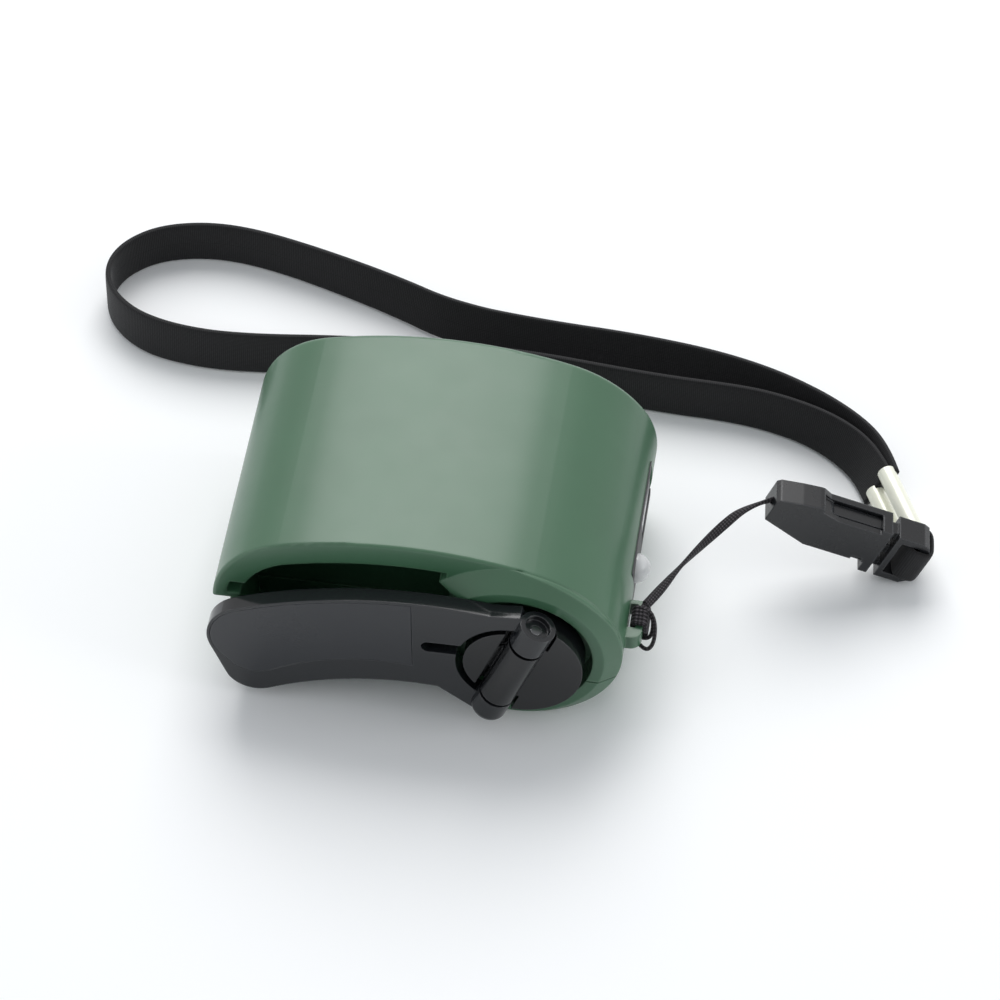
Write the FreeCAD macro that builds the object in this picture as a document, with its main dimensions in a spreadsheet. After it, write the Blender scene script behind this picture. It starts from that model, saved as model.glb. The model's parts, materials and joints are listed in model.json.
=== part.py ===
"""A pocket hand crank generator: a bean shaped case with a folding crank arm, its gear train, its dynamo,
its charging socket and a wrist strap on a side release buckle.

Everything is drawn in case coordinates, in millimetres: X along the bean, Y from the crank face (negative)
to the back, Z up from the table, with Y = 0 half way through the case.  At the very end every piece is
shifted by the same amount, so that the origin lies under the middle of the object without its strap.
"""
import math
import os

import FreeCAD
import Part
import Sketcher
from FreeCAD import Placement, Rotation, Vector

OUT = "parts"
os.makedirs(OUT, exist_ok=True)
doc = FreeCAD.newDocument("hand_crank_generator")

# ---------------------------------------------------------------------------------------------
# Driving dimensions
# ---------------------------------------------------------------------------------------------
SIZES = [
    # the case
    ("case_depth", 46.7, "from the crank face to the back"),
    ("wall", 2.0, "case wall"),
    ("seam_height", 10.0, "height of the joint between the two shells"),
    ("lobe_radius", 15.0, "round end under the crank hub"),
    ("lobe_x", 18.2, "its middle"),
    ("toe_radius", 6.9, "small foot under the arm's tip"),
    ("toe_x", -26.4, "its middle"),
    ("cheek_radius", 15.4, "upper round at the arm's tip"),
    ("cheek_x", -18.5, "its middle"),
    ("cheek_height", 17.5, "its middle above the table"),
    ("shoulder_radius", 22.0, "round between the top and the lobe"),
    ("shoulder_angle", 35.0, "where it leaves the lobe, degrees above the middle"),
    ("crown_radius", 75.0, "long arch of the top"),
    ("waist_radius", 36.0, "hollow of the underside"),
    ("back_round", 1.4, "rounding of the back's edge"),
    ("front_round", 0.5, "rounding of the front's edge"),
    ("seam_gap", 0.25, "height of the groove along the seam"),
    ("seam_depth", 0.6, "depth of the groove along the seam"),
    # crank side of the case
    ("border", 4.5, "flat border round the finger recess"),
    ("pocket_depth", 12.0, "finger recess behind the arm"),
    ("pocket_wall", 1.8, "its back wall"),
    ("pocket_end_x", 4.6, "where the deep part of the recess stops short of the hub"),
    ("notch_depth", 17.0, "open corner for the finger, from the crank face"),
    ("notch_x", -30.9, "how far in it cuts the case's end"),
    ("notch_top", 18.4, "its upper edge"),
    ("corner_border", 2.2, "narrower border where the recess reaches the case's end"),
    ("corner_inner_x", -27.0, "where that reach starts"),
    ("corner_top", 22.2, "its upper edge"),
    ("hub_x", 15.9, "crank axis"),
    ("hub_height", 15.0, "crank axis above the table"),
    ("rim_radius", 12.7, "inner radius of the raised rim"),
    ("rim_land", 1.9, "flat top of the rim"),
    ("rim_bevel", 3.4, "width of the rim's slope"),
    ("rim_height", 2.4, "how far the rim stands out of the crank face"),
    ("well_depth", 5.0, "rim's top down to the floor round the hub"),
    # crank
    ("rotor_radius", 8.0, "hub disc about the crank axis"),
    ("cap_radius", 10.8, "hub's face right of the hinge"),
    ("cap_shift", 0.6, "its middle right of the crank axis"),
    ("rotor_thick", 4.2, "hub disc"),
    ("boss_radius", 4.2, "hub's neck on the shaft"),
    ("arm_thick", 2.65, "crank arm plate"),
    ("arm_gap", 0.25, "arm's back clear of the rim"),
    ("arm_arch_radius", 75.0, "top edge of the arm"),
    ("arm_arch_top", 28.0, "highest point of the arm"),
    ("arm_corner_radius", 7.6, "upper corner at the tip"),
    ("arm_corner_height", 14.7, "its middle"),
    ("arm_toe_radius", 5.0, "lower corner at the tip"),
    ("arm_toe_height", 7.05, "its middle"),
    ("arm_tip_x", -26.4, "both corners' middle"),
    ("arm_waist_radius", 50.0, "hollow lower edge"),
    ("arm_waist_top", 8.25, "its highest point"),
    ("arm_cut_radius", 9.2, "arm's cut round the hub disc"),
    ("slot_width", 2.4, "slot in the arm beside the hub"),
    ("slot_end_x", 1.1, "its closed end"),
    ("slot_height", 17.75, "its middle above the table"),
    ("hinge_tilt", 20.7, "hinge barrel leaning out of the vertical, degrees"),
    ("hinge_radius", 3.0, "hinge barrel"),
    ("hinge_length", 23.8, "whole barrel"),
    ("hinge_middle", 13.0, "the hub's share of the barrel"),
    ("hinge_gap", 0.7, "between the barrel's pieces"),
    ("hinge_pin_radius", 0.9, "hinge pin"),
    ("hinge_recess", 1.0, "pin's ends inside the barrel's ends"),
    ("hinge_round", 1.5, "rounding of the barrel's lower end"),
    ("groove_width", 0.8, "groove in the hub disc beside the barrel"),
    ("groove_depth", 1.5, "groove in the hub disc beside the barrel"),
    ("fold_gap", 0.4, "folded-out arm clear of the hub's face"),
    ("inlay_thick", 0.6, "cover plate let into the arm's face"),
    ("inlay_margin", 0.6, "arm's edge left above and beside it"),
    ("inlay_toe_radius", 4.95, "its lower corner at the tip"),
    ("inlay_toe_height", 11.6, "that corner's middle"),
    ("inlay_waist_radius", 35.0, "its hollow lower edge"),
    ("inlay_waist_top", 12.95, "highest point of that edge"),
    ("inlay_gap", 0.1, "groove round it"),
    ("inlay_end_x", -0.4, "its straight end by the slot"),
    # grip
    ("grip_radius", 1.8, "turning sleeve"),
    ("grip_length", 16.5, "turning sleeve"),
    ("grip_rise", 0.6, "its axis behind the arm's back face"),
    ("grip_height", 13.6, "its axis above the table"),
    ("grip_core_radius", 1.0, "rod inside the sleeve"),
    ("grip_fit", 0.1, "play of the sleeve on its rod"),
    ("grip_head", 1.2, "head that keeps the sleeve on"),
    ("grip_pivot_x", -27.2, "fold-out pin"),
    ("grip_pin_radius", 0.6, "fold-out pin"),
    ("grip_start", 3.3, "sleeve starts this far from the pin"),
    ("grip_eye", 2.4, "width of the rod's flat eye"),
    ("ear_thick", 1.3, "ears on the arm's back"),
    ("ear_gap", 0.25, "eye's play between the ears"),
    ("grip_clear", 0.5, "hollow round the folded grip"),
    # gear train
    ("gear_module", 0.5, "all gears"),
    ("gear_face", 2.2, "width of a gear"),
    ("gear_gap", 0.5, "between gears side by side"),
    ("crank_teeth", 40, "gear on the crank shaft"),
    ("small_teeth", 12, "pinions of both compound gears"),
    ("middle_teeth", 36, "wheel of the first compound gear"),
    ("last_teeth", 32, "wheel of the second compound gear"),
    ("dynamo_teeth", 10, "pinion of the dynamo"),
    ("first_angle", 160.0, "from the crank axis to the first compound gear"),
    ("second_angle", 190.0, "from there to the second"),
    ("third_angle", 175.0, "from there to the dynamo"),
    ("plate_thick", 1.3, "gear plates"),
    ("plate_gap", 0.35, "front plate clear of the recess's wall"),
    ("plate_end_x", 25.4, "right end of the plates"),
    ("shaft_radius", 2.0, "crank shaft"),
    ("shaft_fit", 0.05, "play of shafts in their bushes"),
    ("pin_radius", 0.8, "fixed pins of the compound gears"),
    ("bush_wall", 1.3, "front bush"),
    ("post_radius", 1.6, "spacer posts between the plates"),
    ("sink_radius", 1.5, "sunk heads of the plate screws"),
    ("sink_depth", 0.8, "sunk heads of the plate screws"),
    ("plate_screw_radius", 0.8, "plate screws"),
    ("plate_screw_grip", 4.0, "plate screws inside their posts"),
    # dynamo
    ("can_radius", 11.0, "dynamo can"),
    ("can_length", 12.8, "dynamo can"),
    ("can_wall", 0.9, "dynamo can"),
    ("coil_thick", 2.6, "winding inside the can"),
    ("air_gap", 0.5, "winding to magnet"),
    ("magnet_play", 0.3, "magnet shorter than the winding at each end"),
    ("dynamo_shaft_radius", 1.0, "dynamo shaft"),
    # electrics
    ("board_thick", 1.2, "circuit board"),
    ("board_height", 10.6, "its underside above the table"),
    ("board_left_x", -0.5, "left edge"),
    ("board_length", 30.0, "circuit board"),
    ("board_front_y", 3.0, "front edge"),
    ("board_width", 12.6, "circuit board"),
    ("usb_width", 12.1, "metal shell of the socket"),
    ("usb_height", 4.9, "metal shell of the socket"),
    ("usb_depth", 13.4, "metal shell of the socket"),
    ("usb_sheet", 0.35, "metal of the shell"),
    ("panel_x", 33.0, "outer face of the end panel"),
    ("panel_thick", 2.2, "end panel"),
    ("panel_front_y", -9.35, "front end of the panel"),
    ("panel_length", 24.7, "along the case's depth"),
    ("panel_top", 18.5, "upper edge of the panel"),
    ("led_radius", 2.5, "charge lamp"),
    ("led_y", -4.4, "charge lamp"),
    ("led_height", 14.2, "charge lamp and socket above the table"),
    ("led_out", 2.35, "its tip beyond the panel"),
    ("led_flange", 0.5, "rim at the lamp's foot"),
    ("led_length", 8.4, "charge lamp"),
    # lanyard lug
    ("lug_x", 35.7, "outer face of the lug"),
    ("lug_front_y", -20.5, "front end of the lug"),
    ("lug_length", 7.9, "along the case's depth"),
    ("lug_thick", 2.8, "height of the lug"),
    ("lug_front_round", 1.8, "rounding of its front corner"),
    ("lug_back_round", 0.7, "rounding of its back corner"),
    ("lug_bar", 1.2, "bar that the cord goes round"),
    ("lug_height", 14.5, "its middle above the table"),
    # screws
    ("screw_radius", 1.1, "case screws"),
    ("screw_head_radius", 2.1, "case screws"),
    ("screw_length", 12.0, "case screws under the head"),
    ("screw_sink", 3.6, "head below the seam's boss top"),
    ("boss_wall", 1.5, "round the case screws"),
    ("boss_bite", 0.4, "how far the rear bosses run into the back wall"),
    ("fit", 0.1, "loose fits of fixed pieces"),
    # cord, buckle and strap
    ("cord_radius", 0.9, "doubled lanyard cord"),
    ("loop_radius", 0.45, "single lanyard cord round the lug"),
    ("buckle_x", 50.7, "lower corner of its cord end"),
    ("buckle_y", 10.62, "lower corner of its cord end"),
    ("buckle_z", 10.39, "lower corner of its cord end"),
    ("buckle_yaw", 5.0, "its direction seen from above, degrees"),
    ("buckle_pitch", 21.8, "how far its cord end is tipped up, degrees"),
    ("buckle_length", 20.75, "socket half"),
    ("buckle_width", 10.65, "socket half at its collar"),
    ("buckle_thick", 4.78, "both halves"),
    ("buckle_nose", 8.0, "solid end by the cord"),
    ("buckle_wall", 1.1, "faces in front of and behind the prongs"),
    ("collar_length", 1.55, "collar round the mouth"),
    ("collar_wall", 1.0, "its lower side"),
    ("socket_wall", 0.6, "upper side of the socket"),
    ("socket_low", 2.05, "socket's lower edge above the collar's"),
    ("window_from", 9.2, "lower prong shows from here on"),
    ("clip_gap", 1.35, "base clear of the socket half"),
    ("clip_length", 6.2, "base of the clip half"),
    ("clip_top", 0.3, "base below the collar's upper edge"),
    ("clip_bar", 1.0, "frame beside the strap's slot, inner side"),
    ("clip_frame", 1.3, "frame above and below the slot"),
    ("clip_slot", 3.5, "strap's slot"),
    ("clip_travel", 13.0, "how far the clip pulls out"),
    ("prong_length", 12.4, "side prongs"),
    ("prong_thick", 1.5, "side prongs"),
    ("prong_play", 0.15, "clear of the socket's walls"),
    ("spine_width", 1.8, "guide between the prongs"),
    ("crimp_radius", 1.55, "metal crimps at the strap's ends"),
    ("crimp_bite", 0.8, "strap inside the crimps"),
    ("strap_width", 8.0, "wrist strap, standing on its edge"),
    ("strap_thick", 1.1, "wrist strap"),
    ("strap_lift", 0.3, "its lower edge above the table"),
]
size = {name: value for name, value, note in SIZES}

sheet = doc.addObject("Spreadsheet::Sheet", "dims")
for row, (alias, value, note) in enumerate(SIZES, start=1):
    sheet.set(f"A{row}", alias)
    sheet.set(f"B{row}", str(value))
    sheet.set(f"C{row}", note)
    sheet.setAlias(f"B{row}", alias)
doc.recompute()

# ---------------------------------------------------------------------------------------------
# Small helpers
# ---------------------------------------------------------------------------------------------
ALONG_Y = Rotation(Vector(0, 0, 1), Vector(0, 1, 0))
ALONG_X = Rotation(Vector(0, 0, 1), Vector(1, 0, 0))
UPRIGHT = Rotation()
finished = {}


def bind(item, **sizes):
    """Ties each named property of a document object to an expression in the sheet's values."""
    for name, expression in sizes.items():
        item.setExpression(name, str(expression))


def solid(kind, name, at, turn=UPRIGHT, **sizes):
    """A Part primitive (Box, Cylinder, Cone ...) with its sizes bound to the sheet."""
    item = doc.addObject("Part::" + kind, name)
    bind(item, **sizes)
    item.Placement = Placement(Vector(*at), turn)
    return item


def rod(name, at, radius, length, turn=ALONG_Y):
    """A cylinder that starts at a point and runs along Y, or along another axis."""
    return solid("Cylinder", name, at, turn, Radius=radius, Height=length)


def box(name, at, length, width, height, turn=UPRIGHT):
    """A block from its low corner: length along X, width along Y, height along Z."""
    return solid("Box", name, at, turn, Length=length, Width=width, Height=height)


def fuse(name, *items):
    joined = doc.addObject("Part::MultiFuse", name)
    joined.Shapes = list(items)
    joined.Refine = True
    return joined


def cut(name, base, *tools):
    removed = doc.addObject("Part::Cut", name)
    removed.Base = base
    removed.Tool = tools[0] if len(tools) == 1 else fuse(name + "_tools", *tools)
    removed.Refine = True
    return removed


def common(name, first, second):
    shared = doc.addObject("Part::Common", name)
    shared.Base = first
    shared.Tool = second
    shared.Refine = True
    return shared


def shaped(name, shape, place=None):
    """A Part::Feature for shapes that neither a primitive nor a sketch gives, such as gear teeth."""
    item = doc.addObject("Part::Feature", name)
    item.Shape = shape
    if place:
        item.Placement = place
    return item


def prism(name, points, start, depth):
    """A straight sided block with the given (X, Z) corners, from start on along Y."""
    ring = [Vector(x, start, z) for x, z in points]
    face = Part.Face(Part.makePolygon(ring + ring[:1]))
    return shaped(name, face.extrude(Vector(0, depth, 0)))


def node(label, item):
    """Marks an object as one finished piece; its label is the name of its file."""
    item.Label = label
    finished[label] = item
    return item


def origin_plane(body, role):
    return next(plane for plane in body.Origin.OriginFeatures if plane.Role == role)


# ---------------------------------------------------------------------------------------------
# Outlines made of tangent arcs
# ---------------------------------------------------------------------------------------------
def circle_meet(first, r_first, second, r_second, side):
    """A point at the given distances from two others; side +1 is left of the way between them."""
    way = (second[0] - first[0], second[1] - first[1])
    gap = math.hypot(*way)
    along = (r_first**2 - r_second**2 + gap**2) / (2 * gap)
    off = side * math.sqrt(r_first**2 - along**2)
    ux, uy = way[0] / gap, way[1] / gap
    return first[0] + along * ux - off * uy, first[1] + along * uy + off * ux


def toward(start, end, distance):
    gap = math.dist(start, end)
    share = distance / gap
    return start[0] + share * (end[0] - start[0]), start[1] + share * (end[1] - start[1])


class Outline:
    """Draws arcs and lines in a sketch, counter-clockwise, each tangent to the one before."""

    def __init__(self, sketch):
        self.sketch = sketch
        self.ends = []

    def limit(self, kind, *where, expression=None):
        index = self.sketch.addConstraint(Sketcher.Constraint(kind, *where))
        if expression is not None:
            self.sketch.setExpression(f"Constraints[{index}]", str(expression))

    def arc(self, centre, radius, start, end, radius_by, x_by=None, y_by=None, hollow=False):
        """An arc between two points; hollow ones are run clockwise, so their ends swap."""
        first, last = (end, start) if hollow else (start, end)
        a0, a1 = (math.atan2(p[1] - centre[1], p[0] - centre[0]) for p in (first, last))
        if a1 < a0:
            a1 += 2 * math.pi
        ring = Part.Circle(Vector(*centre, 0), Vector(0, 0, 1), radius)
        index = self.sketch.addGeometry(Part.ArcOfCircle(ring, a0, a1))
        self.limit("Radius", index, radius, expression=radius_by)
        if x_by is not None:
            self.limit("DistanceX", -1, 1, index, 3, centre[0], expression=x_by)
        if y_by is not None:
            self.limit("DistanceY", -1, 1, index, 3, centre[1], expression=y_by)
        self.ends.append((index, 2 if hollow else 1, 1 if hollow else 2))
        return index

    def line(self, start, end, kind=None):
        index = self.sketch.addGeometry(Part.LineSegment(Vector(*start, 0), Vector(*end, 0)))
        if kind:
            self.limit(kind, index)
        self.ends.append((index, 1, 2))
        return index

    def join(self, corners=()):
        """Closes the outline: tangent everywhere, but plain corners after the listed elements."""
        for n, (index, first, last) in enumerate(self.ends):
            following = self.ends[(n + 1) % len(self.ends)]
            kind = "Coincident" if n in corners else "Tangent"
            self.limit(kind, index, last, following[0], following[1])


def case_circles():
    """Middles and radii of the arcs that make the bean, in the crank face's plane (X, Z)."""
    s = size
    lobe = (s["lobe_x"], s["lobe_radius"])
    cheek = (s["cheek_x"], s["cheek_height"])
    toe = (s["toe_x"], s["toe_radius"])
    lean = math.radians(s["shoulder_angle"])
    back = s["shoulder_radius"] - s["lobe_radius"]
    shoulder = (lobe[0] - back * math.cos(lean), lobe[1] - back * math.sin(lean))
    crown = circle_meet(
        cheek, s["crown_radius"] - s["cheek_radius"],
        shoulder, s["crown_radius"] - s["shoulder_radius"], -1,
    )
    waist = circle_meet(
        toe, s["waist_radius"] + s["toe_radius"],
        lobe, s["waist_radius"] + s["lobe_radius"], -1,
    )
    return {"lobe": lobe, "cheek": cheek, "toe": toe, "shoulder": shoulder, "crown": crown, "waist": waist}


BEAN = case_circles()


def outer_tangent(first, r_first, second, r_second):
    """Where the straight flank left of two circles touches the first and the second."""
    way = (first[0] - second[0], first[1] - second[1])
    gap = math.hypot(*way)
    turn = math.atan2(way[1], way[0]) + math.acos((r_second - r_first) / gap)
    nx, ny = math.cos(turn), math.sin(turn)
    touch = lambda c, r: (c[0] + r * nx, c[1] + r * ny)
    return touch(first, r_first), touch(second, r_second)


def bean(name, y_back, depth, inset="0"):
    """A block with the case's outline, drawn smaller by an inset, from y_back towards the front."""
    step = 0.0 if inset == "0" else size[inset]
    by = "0" if inset == "0" else f"dims.{inset}"
    body = doc.addObject("PartDesign::Body", name)
    sketch = body.newObject("Sketcher::SketchObject", name + "_outline")
    sketch.AttachmentSupport = [(origin_plane(body, "XZ_Plane"), "")]
    sketch.MapMode = "FlatFace"
    lobe, cheek, toe = BEAN["lobe"], BEAN["cheek"], BEAN["toe"]
    shoulder, crown, waist = BEAN["shoulder"], BEAN["crown"], BEAN["waist"]
    r_lobe, r_cheek = size["lobe_radius"] - step, size["cheek_radius"] - step
    r_toe, r_waist = size["toe_radius"] - step, size["waist_radius"] + step
    r_shoulder, r_crown = size["shoulder_radius"] - step, size["crown_radius"] - step
    lobe_waist = toward(waist, lobe, r_waist)
    lobe_shoulder = toward(shoulder, lobe, r_shoulder)
    shoulder_crown = toward(crown, shoulder, r_crown)
    crown_cheek = toward(crown, cheek, r_crown)
    flank_top, flank_low = outer_tangent(cheek, r_cheek, toe, r_toe)
    toe_waist = toward(waist, toe, r_waist)
    draw = Outline(sketch)
    draw.arc(lobe, r_lobe, lobe_waist, lobe_shoulder, f"dims.lobe_radius - {by}",
             "dims.lobe_x", "dims.lobe_radius")
    lean = "(dims.shoulder_radius - dims.lobe_radius) * cos(dims.shoulder_angle)"
    draw.arc(shoulder, r_shoulder, lobe_shoulder, shoulder_crown, f"dims.shoulder_radius - {by}",
             f"dims.lobe_x - {lean}")
    draw.arc(crown, r_crown, shoulder_crown, crown_cheek, f"dims.crown_radius - {by}")
    draw.arc(cheek, r_cheek, crown_cheek, flank_top, f"dims.cheek_radius - {by}",
             "dims.cheek_x", "dims.cheek_height")
    draw.line(flank_top, flank_low)
    draw.arc(toe, r_toe, flank_low, toe_waist, f"dims.toe_radius - {by}", "dims.toe_x", "dims.toe_radius")
    draw.arc(waist, r_waist, toe_waist, lobe_waist, f"dims.waist_radius + {by}", hollow=True)
    draw.join()
    pad = body.newObject("PartDesign::Pad", name + "_pad")
    pad.Profile = sketch
    bind(pad, Length=depth)
    body.Tip = pad
    body.Placement = Placement(Vector(0, y_back, 0), UPRIGHT)
    return body


# ---------------------------------------------------------------------------------------------
# Levels and middles that follow from the driving dimensions
# ---------------------------------------------------------------------------------------------
s = size
front = -s["case_depth"] / 2
back = -front
rim_top = front - s["rim_height"]
well_floor = rim_top + s["well_depth"]
pocket_floor = front + s["pocket_depth"]
hub = (s["hub_x"], s["hub_height"])
arm_back = rim_top - s["arm_gap"]
arm_front = arm_back - s["arm_thick"]
cap_front = arm_front + 0.5 * s["arm_gap"]
hinge_y = (arm_front + cap_front - s["fold_gap"]) / 2
plate_front = pocket_floor + s["pocket_wall"] + s["plate_gap"]
gears_from = plate_front + s["plate_thick"] + s["gear_gap"]
layer_step = s["gear_face"] + s["gear_gap"]
layers = [gears_from + n * layer_step for n in range(3)]
plate_back = layers[2] + layer_step
dynamo_front = plate_back + s["plate_thick"]


def mesh_distance(first, second):
    return s["gear_module"] * (first + second) / 2


def beside(middle, angle, distance):
    lean = math.radians(angle)
    return middle[0] + distance * math.cos(lean), middle[1] + distance * math.sin(lean)


first_axle = beside(hub, s["first_angle"], mesh_distance(s["crank_teeth"], s["small_teeth"]))
second_axle = beside(first_axle, s["second_angle"], mesh_distance(s["middle_teeth"], s["small_teeth"]))
dynamo_axle = beside(second_axle, s["third_angle"], mesh_distance(s["last_teeth"], s["dynamo_teeth"]))


def at_y(middle, y):
    """A point on an axis that runs front to back."""
    return (middle[0], y, middle[1])


# ---------------------------------------------------------------------------------------------
# The case: one hollow block, split at the seam into an upper and a lower shell
# ---------------------------------------------------------------------------------------------
def rounded_block():
    """The bean with its back and front edges rounded."""
    block = bean("case_block", back, "dims.case_depth")
    doc.recompute()
    rounded = doc.addObject("Part::Fillet", "case_rounded")
    rounded.Base = block
    edges = []
    for n, edge in enumerate(block.Shape.Edges, start=1):
        middle = edge.valueAt((edge.FirstParameter + edge.LastParameter) / 2)
        flat = abs(edge.BoundBox.YMax - edge.BoundBox.YMin) < 1e-6
        if flat and abs(middle.y - back) < 1e-6:
            edges.append((n, s["back_round"], s["back_round"]))
        elif flat and abs(middle.y - front) < 1e-6:
            edges.append((n, s["front_round"], s["front_round"]))
    rounded.Edges = edges
    return rounded


RIM_CUT = [(11.3, 27.0), (6.8, 26.7), (-2.5, 30.0)]


def beside_rim(name, start, depth):
    """The room left of the rim's cut edge, from start on along Y."""
    far, low = -60, -5
    corners = [(RIM_CUT[0][0], low)] + RIM_CUT + [(far, RIM_CUT[-1][1]), (far, low)]
    return prism(name, corners, start, depth)


def rim():
    """The raised rim round the hub: a slope up to a narrow flat ring, left out beside the recess."""
    slope = solid("Cone", "rim_slope", at_y(hub, front), Rotation(Vector(0, 0, 1), Vector(0, -1, 0)),
                  Radius1="dims.rim_radius + dims.rim_land + dims.rim_bevel",
                  Radius2="dims.rim_radius + dims.rim_land", Height="dims.rim_height")
    outline = bean("rim_outline", front, "dims.rim_height")
    trimmed = common("rim_trimmed", slope, outline)
    return cut("rim_ring", trimmed, beside_rim("rim_side", rim_top - 1, s["rim_height"] + 2))


def screw_places():
    """Case screws: (x, y) of each, all driven from below."""
    boss = s["screw_radius"] + s["boss_wall"]
    behind = back - s["wall"] - boss + s["boss_bite"]
    ahead = (well_floor + s["wall"] + plate_front) / 2
    return [(s["toe_x"] + 6.4, behind), (s["lobe_x"] + 6.3, behind),
            (hub[0] - 7.4, ahead), (hub[0] + 9.4, ahead)]


def case_hollow():
    """Inside of the case: full section behind the recess, and right of it also ahead to the hub's floor."""
    rear = bean("hollow_rear", back - s["wall"], "dims.case_depth - dims.wall - dims.pocket_depth"
                " - dims.pocket_wall", "wall")
    ahead = bean("hollow_ahead", pocket_floor + s["pocket_wall"] + 0.1, "dims.pocket_depth + dims.pocket_wall"
                 " - dims.well_depth + dims.rim_height - dims.wall + 0.1", "wall")
    split = s["pocket_end_x"] + s["pocket_wall"]
    keep = box("hollow_right", (split, front, 0), "dims.case_depth", "dims.case_depth", "dims.case_depth")
    return fuse("case_hollow", rear, common("hollow_front", ahead, keep))


def finger_recess():
    """The recess behind the arm with its shallow end beside the hub, and the open corner for the fingertip."""
    pocket = bean("recess_block", pocket_floor, "dims.pocket_depth + 1", "border")
    keep = box("recess_keep", (s["pocket_end_x"] - 60, front - 2, 0), 60, "dims.pocket_depth + 2", 60)
    under_rim = cut("under_rim", rod("rim_footprint", at_y(hub, front - 2), "dims.rim_radius + dims.rim_land"
                                     " + dims.rim_bevel", "dims.pocket_depth + 4"),
                    beside_rim("footprint_side", front - 3, s["pocket_depth"] + 6))
    shelf = common("recess_shelf", bean("shelf_block", well_floor, "dims.well_depth - dims.rim_height + 1", "border"),
                   beside_rim("shelf_side", front - 3, s["well_depth"] + 3))
    recess = fuse("recess", cut("recess_deep", common("recess_left", pocket, keep), under_rim), shelf)
    reach = bean("corner_block", pocket_floor, "dims.pocket_depth + 1", "corner_border")
    corner_low = s["notch_top"] + 1
    corner_keep = box("corner_keep", (s["corner_inner_x"] - 20, front - 2, corner_low), 20,
                      "dims.pocket_depth + 2", f"dims.corner_top - {corner_low}")
    corner = common("recess_corner", reach, corner_keep)
    notch = box("notch", (s["notch_x"] - 20, front - 1, -1), 20, "dims.notch_depth + 1",
                "dims.notch_top + 1")
    return recess, corner, notch


def notch_lining():
    """Keeps a wall between the open corner and the inside."""
    lining = box("notch_lining", (s["notch_x"] - 20, front, 0), "20 + dims.wall",
                 "dims.notch_depth + dims.wall", "dims.notch_top + dims.wall")
    return lining


def lug():
    """The bar beside the lamp that the lanyard loops round."""
    inner = s["lobe_x"] + s["lobe_radius"]
    start = inner - 1.6
    base = box("lug_block", (start, s["lug_front_y"], s["lug_height"] - s["lug_thick"] / 2),
               f"dims.lug_x - {start}", "dims.lug_length", "dims.lug_thick")
    doc.recompute()
    rounded = doc.addObject("Part::Fillet", "lug_rounded")
    rounded.Base = base
    edges = []
    for n, edge in enumerate(base.Shape.Edges, start=1):
        middle = edge.CenterOfMass
        if abs(middle.x - s["lug_x"]) < 1e-6 and abs(middle.z - s["lug_height"]) < 1e-6:
            radius = s["lug_front_round"] if middle.y < s["lug_front_y"] + 1 else s["lug_back_round"]
            edges.append((n, radius, radius))
    rounded.Edges = edges
    eye_height = s["lug_thick"] + 2
    eye = box("lug_eye", (inner + 0.05, s["lug_front_y"] + 2.2, s["lug_height"] - eye_height / 2),
              f"dims.lug_x - dims.lug_bar - {inner + 0.05}", "dims.lug_length - 3", eye_height)
    return rounded, eye


def seam_groove():
    """The thin groove round the lower shell's top edge that shows as the joint line."""
    slab = box("seam_slab", (-60, -60, s["seam_height"] - s["seam_gap"]), 120, 120, "dims.seam_gap + 1")
    core = bean("seam_core", back - s["seam_depth"], "dims.case_depth - 2 * dims.seam_depth", "seam_depth")
    return cut("seam_ring", slab, core)


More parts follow.
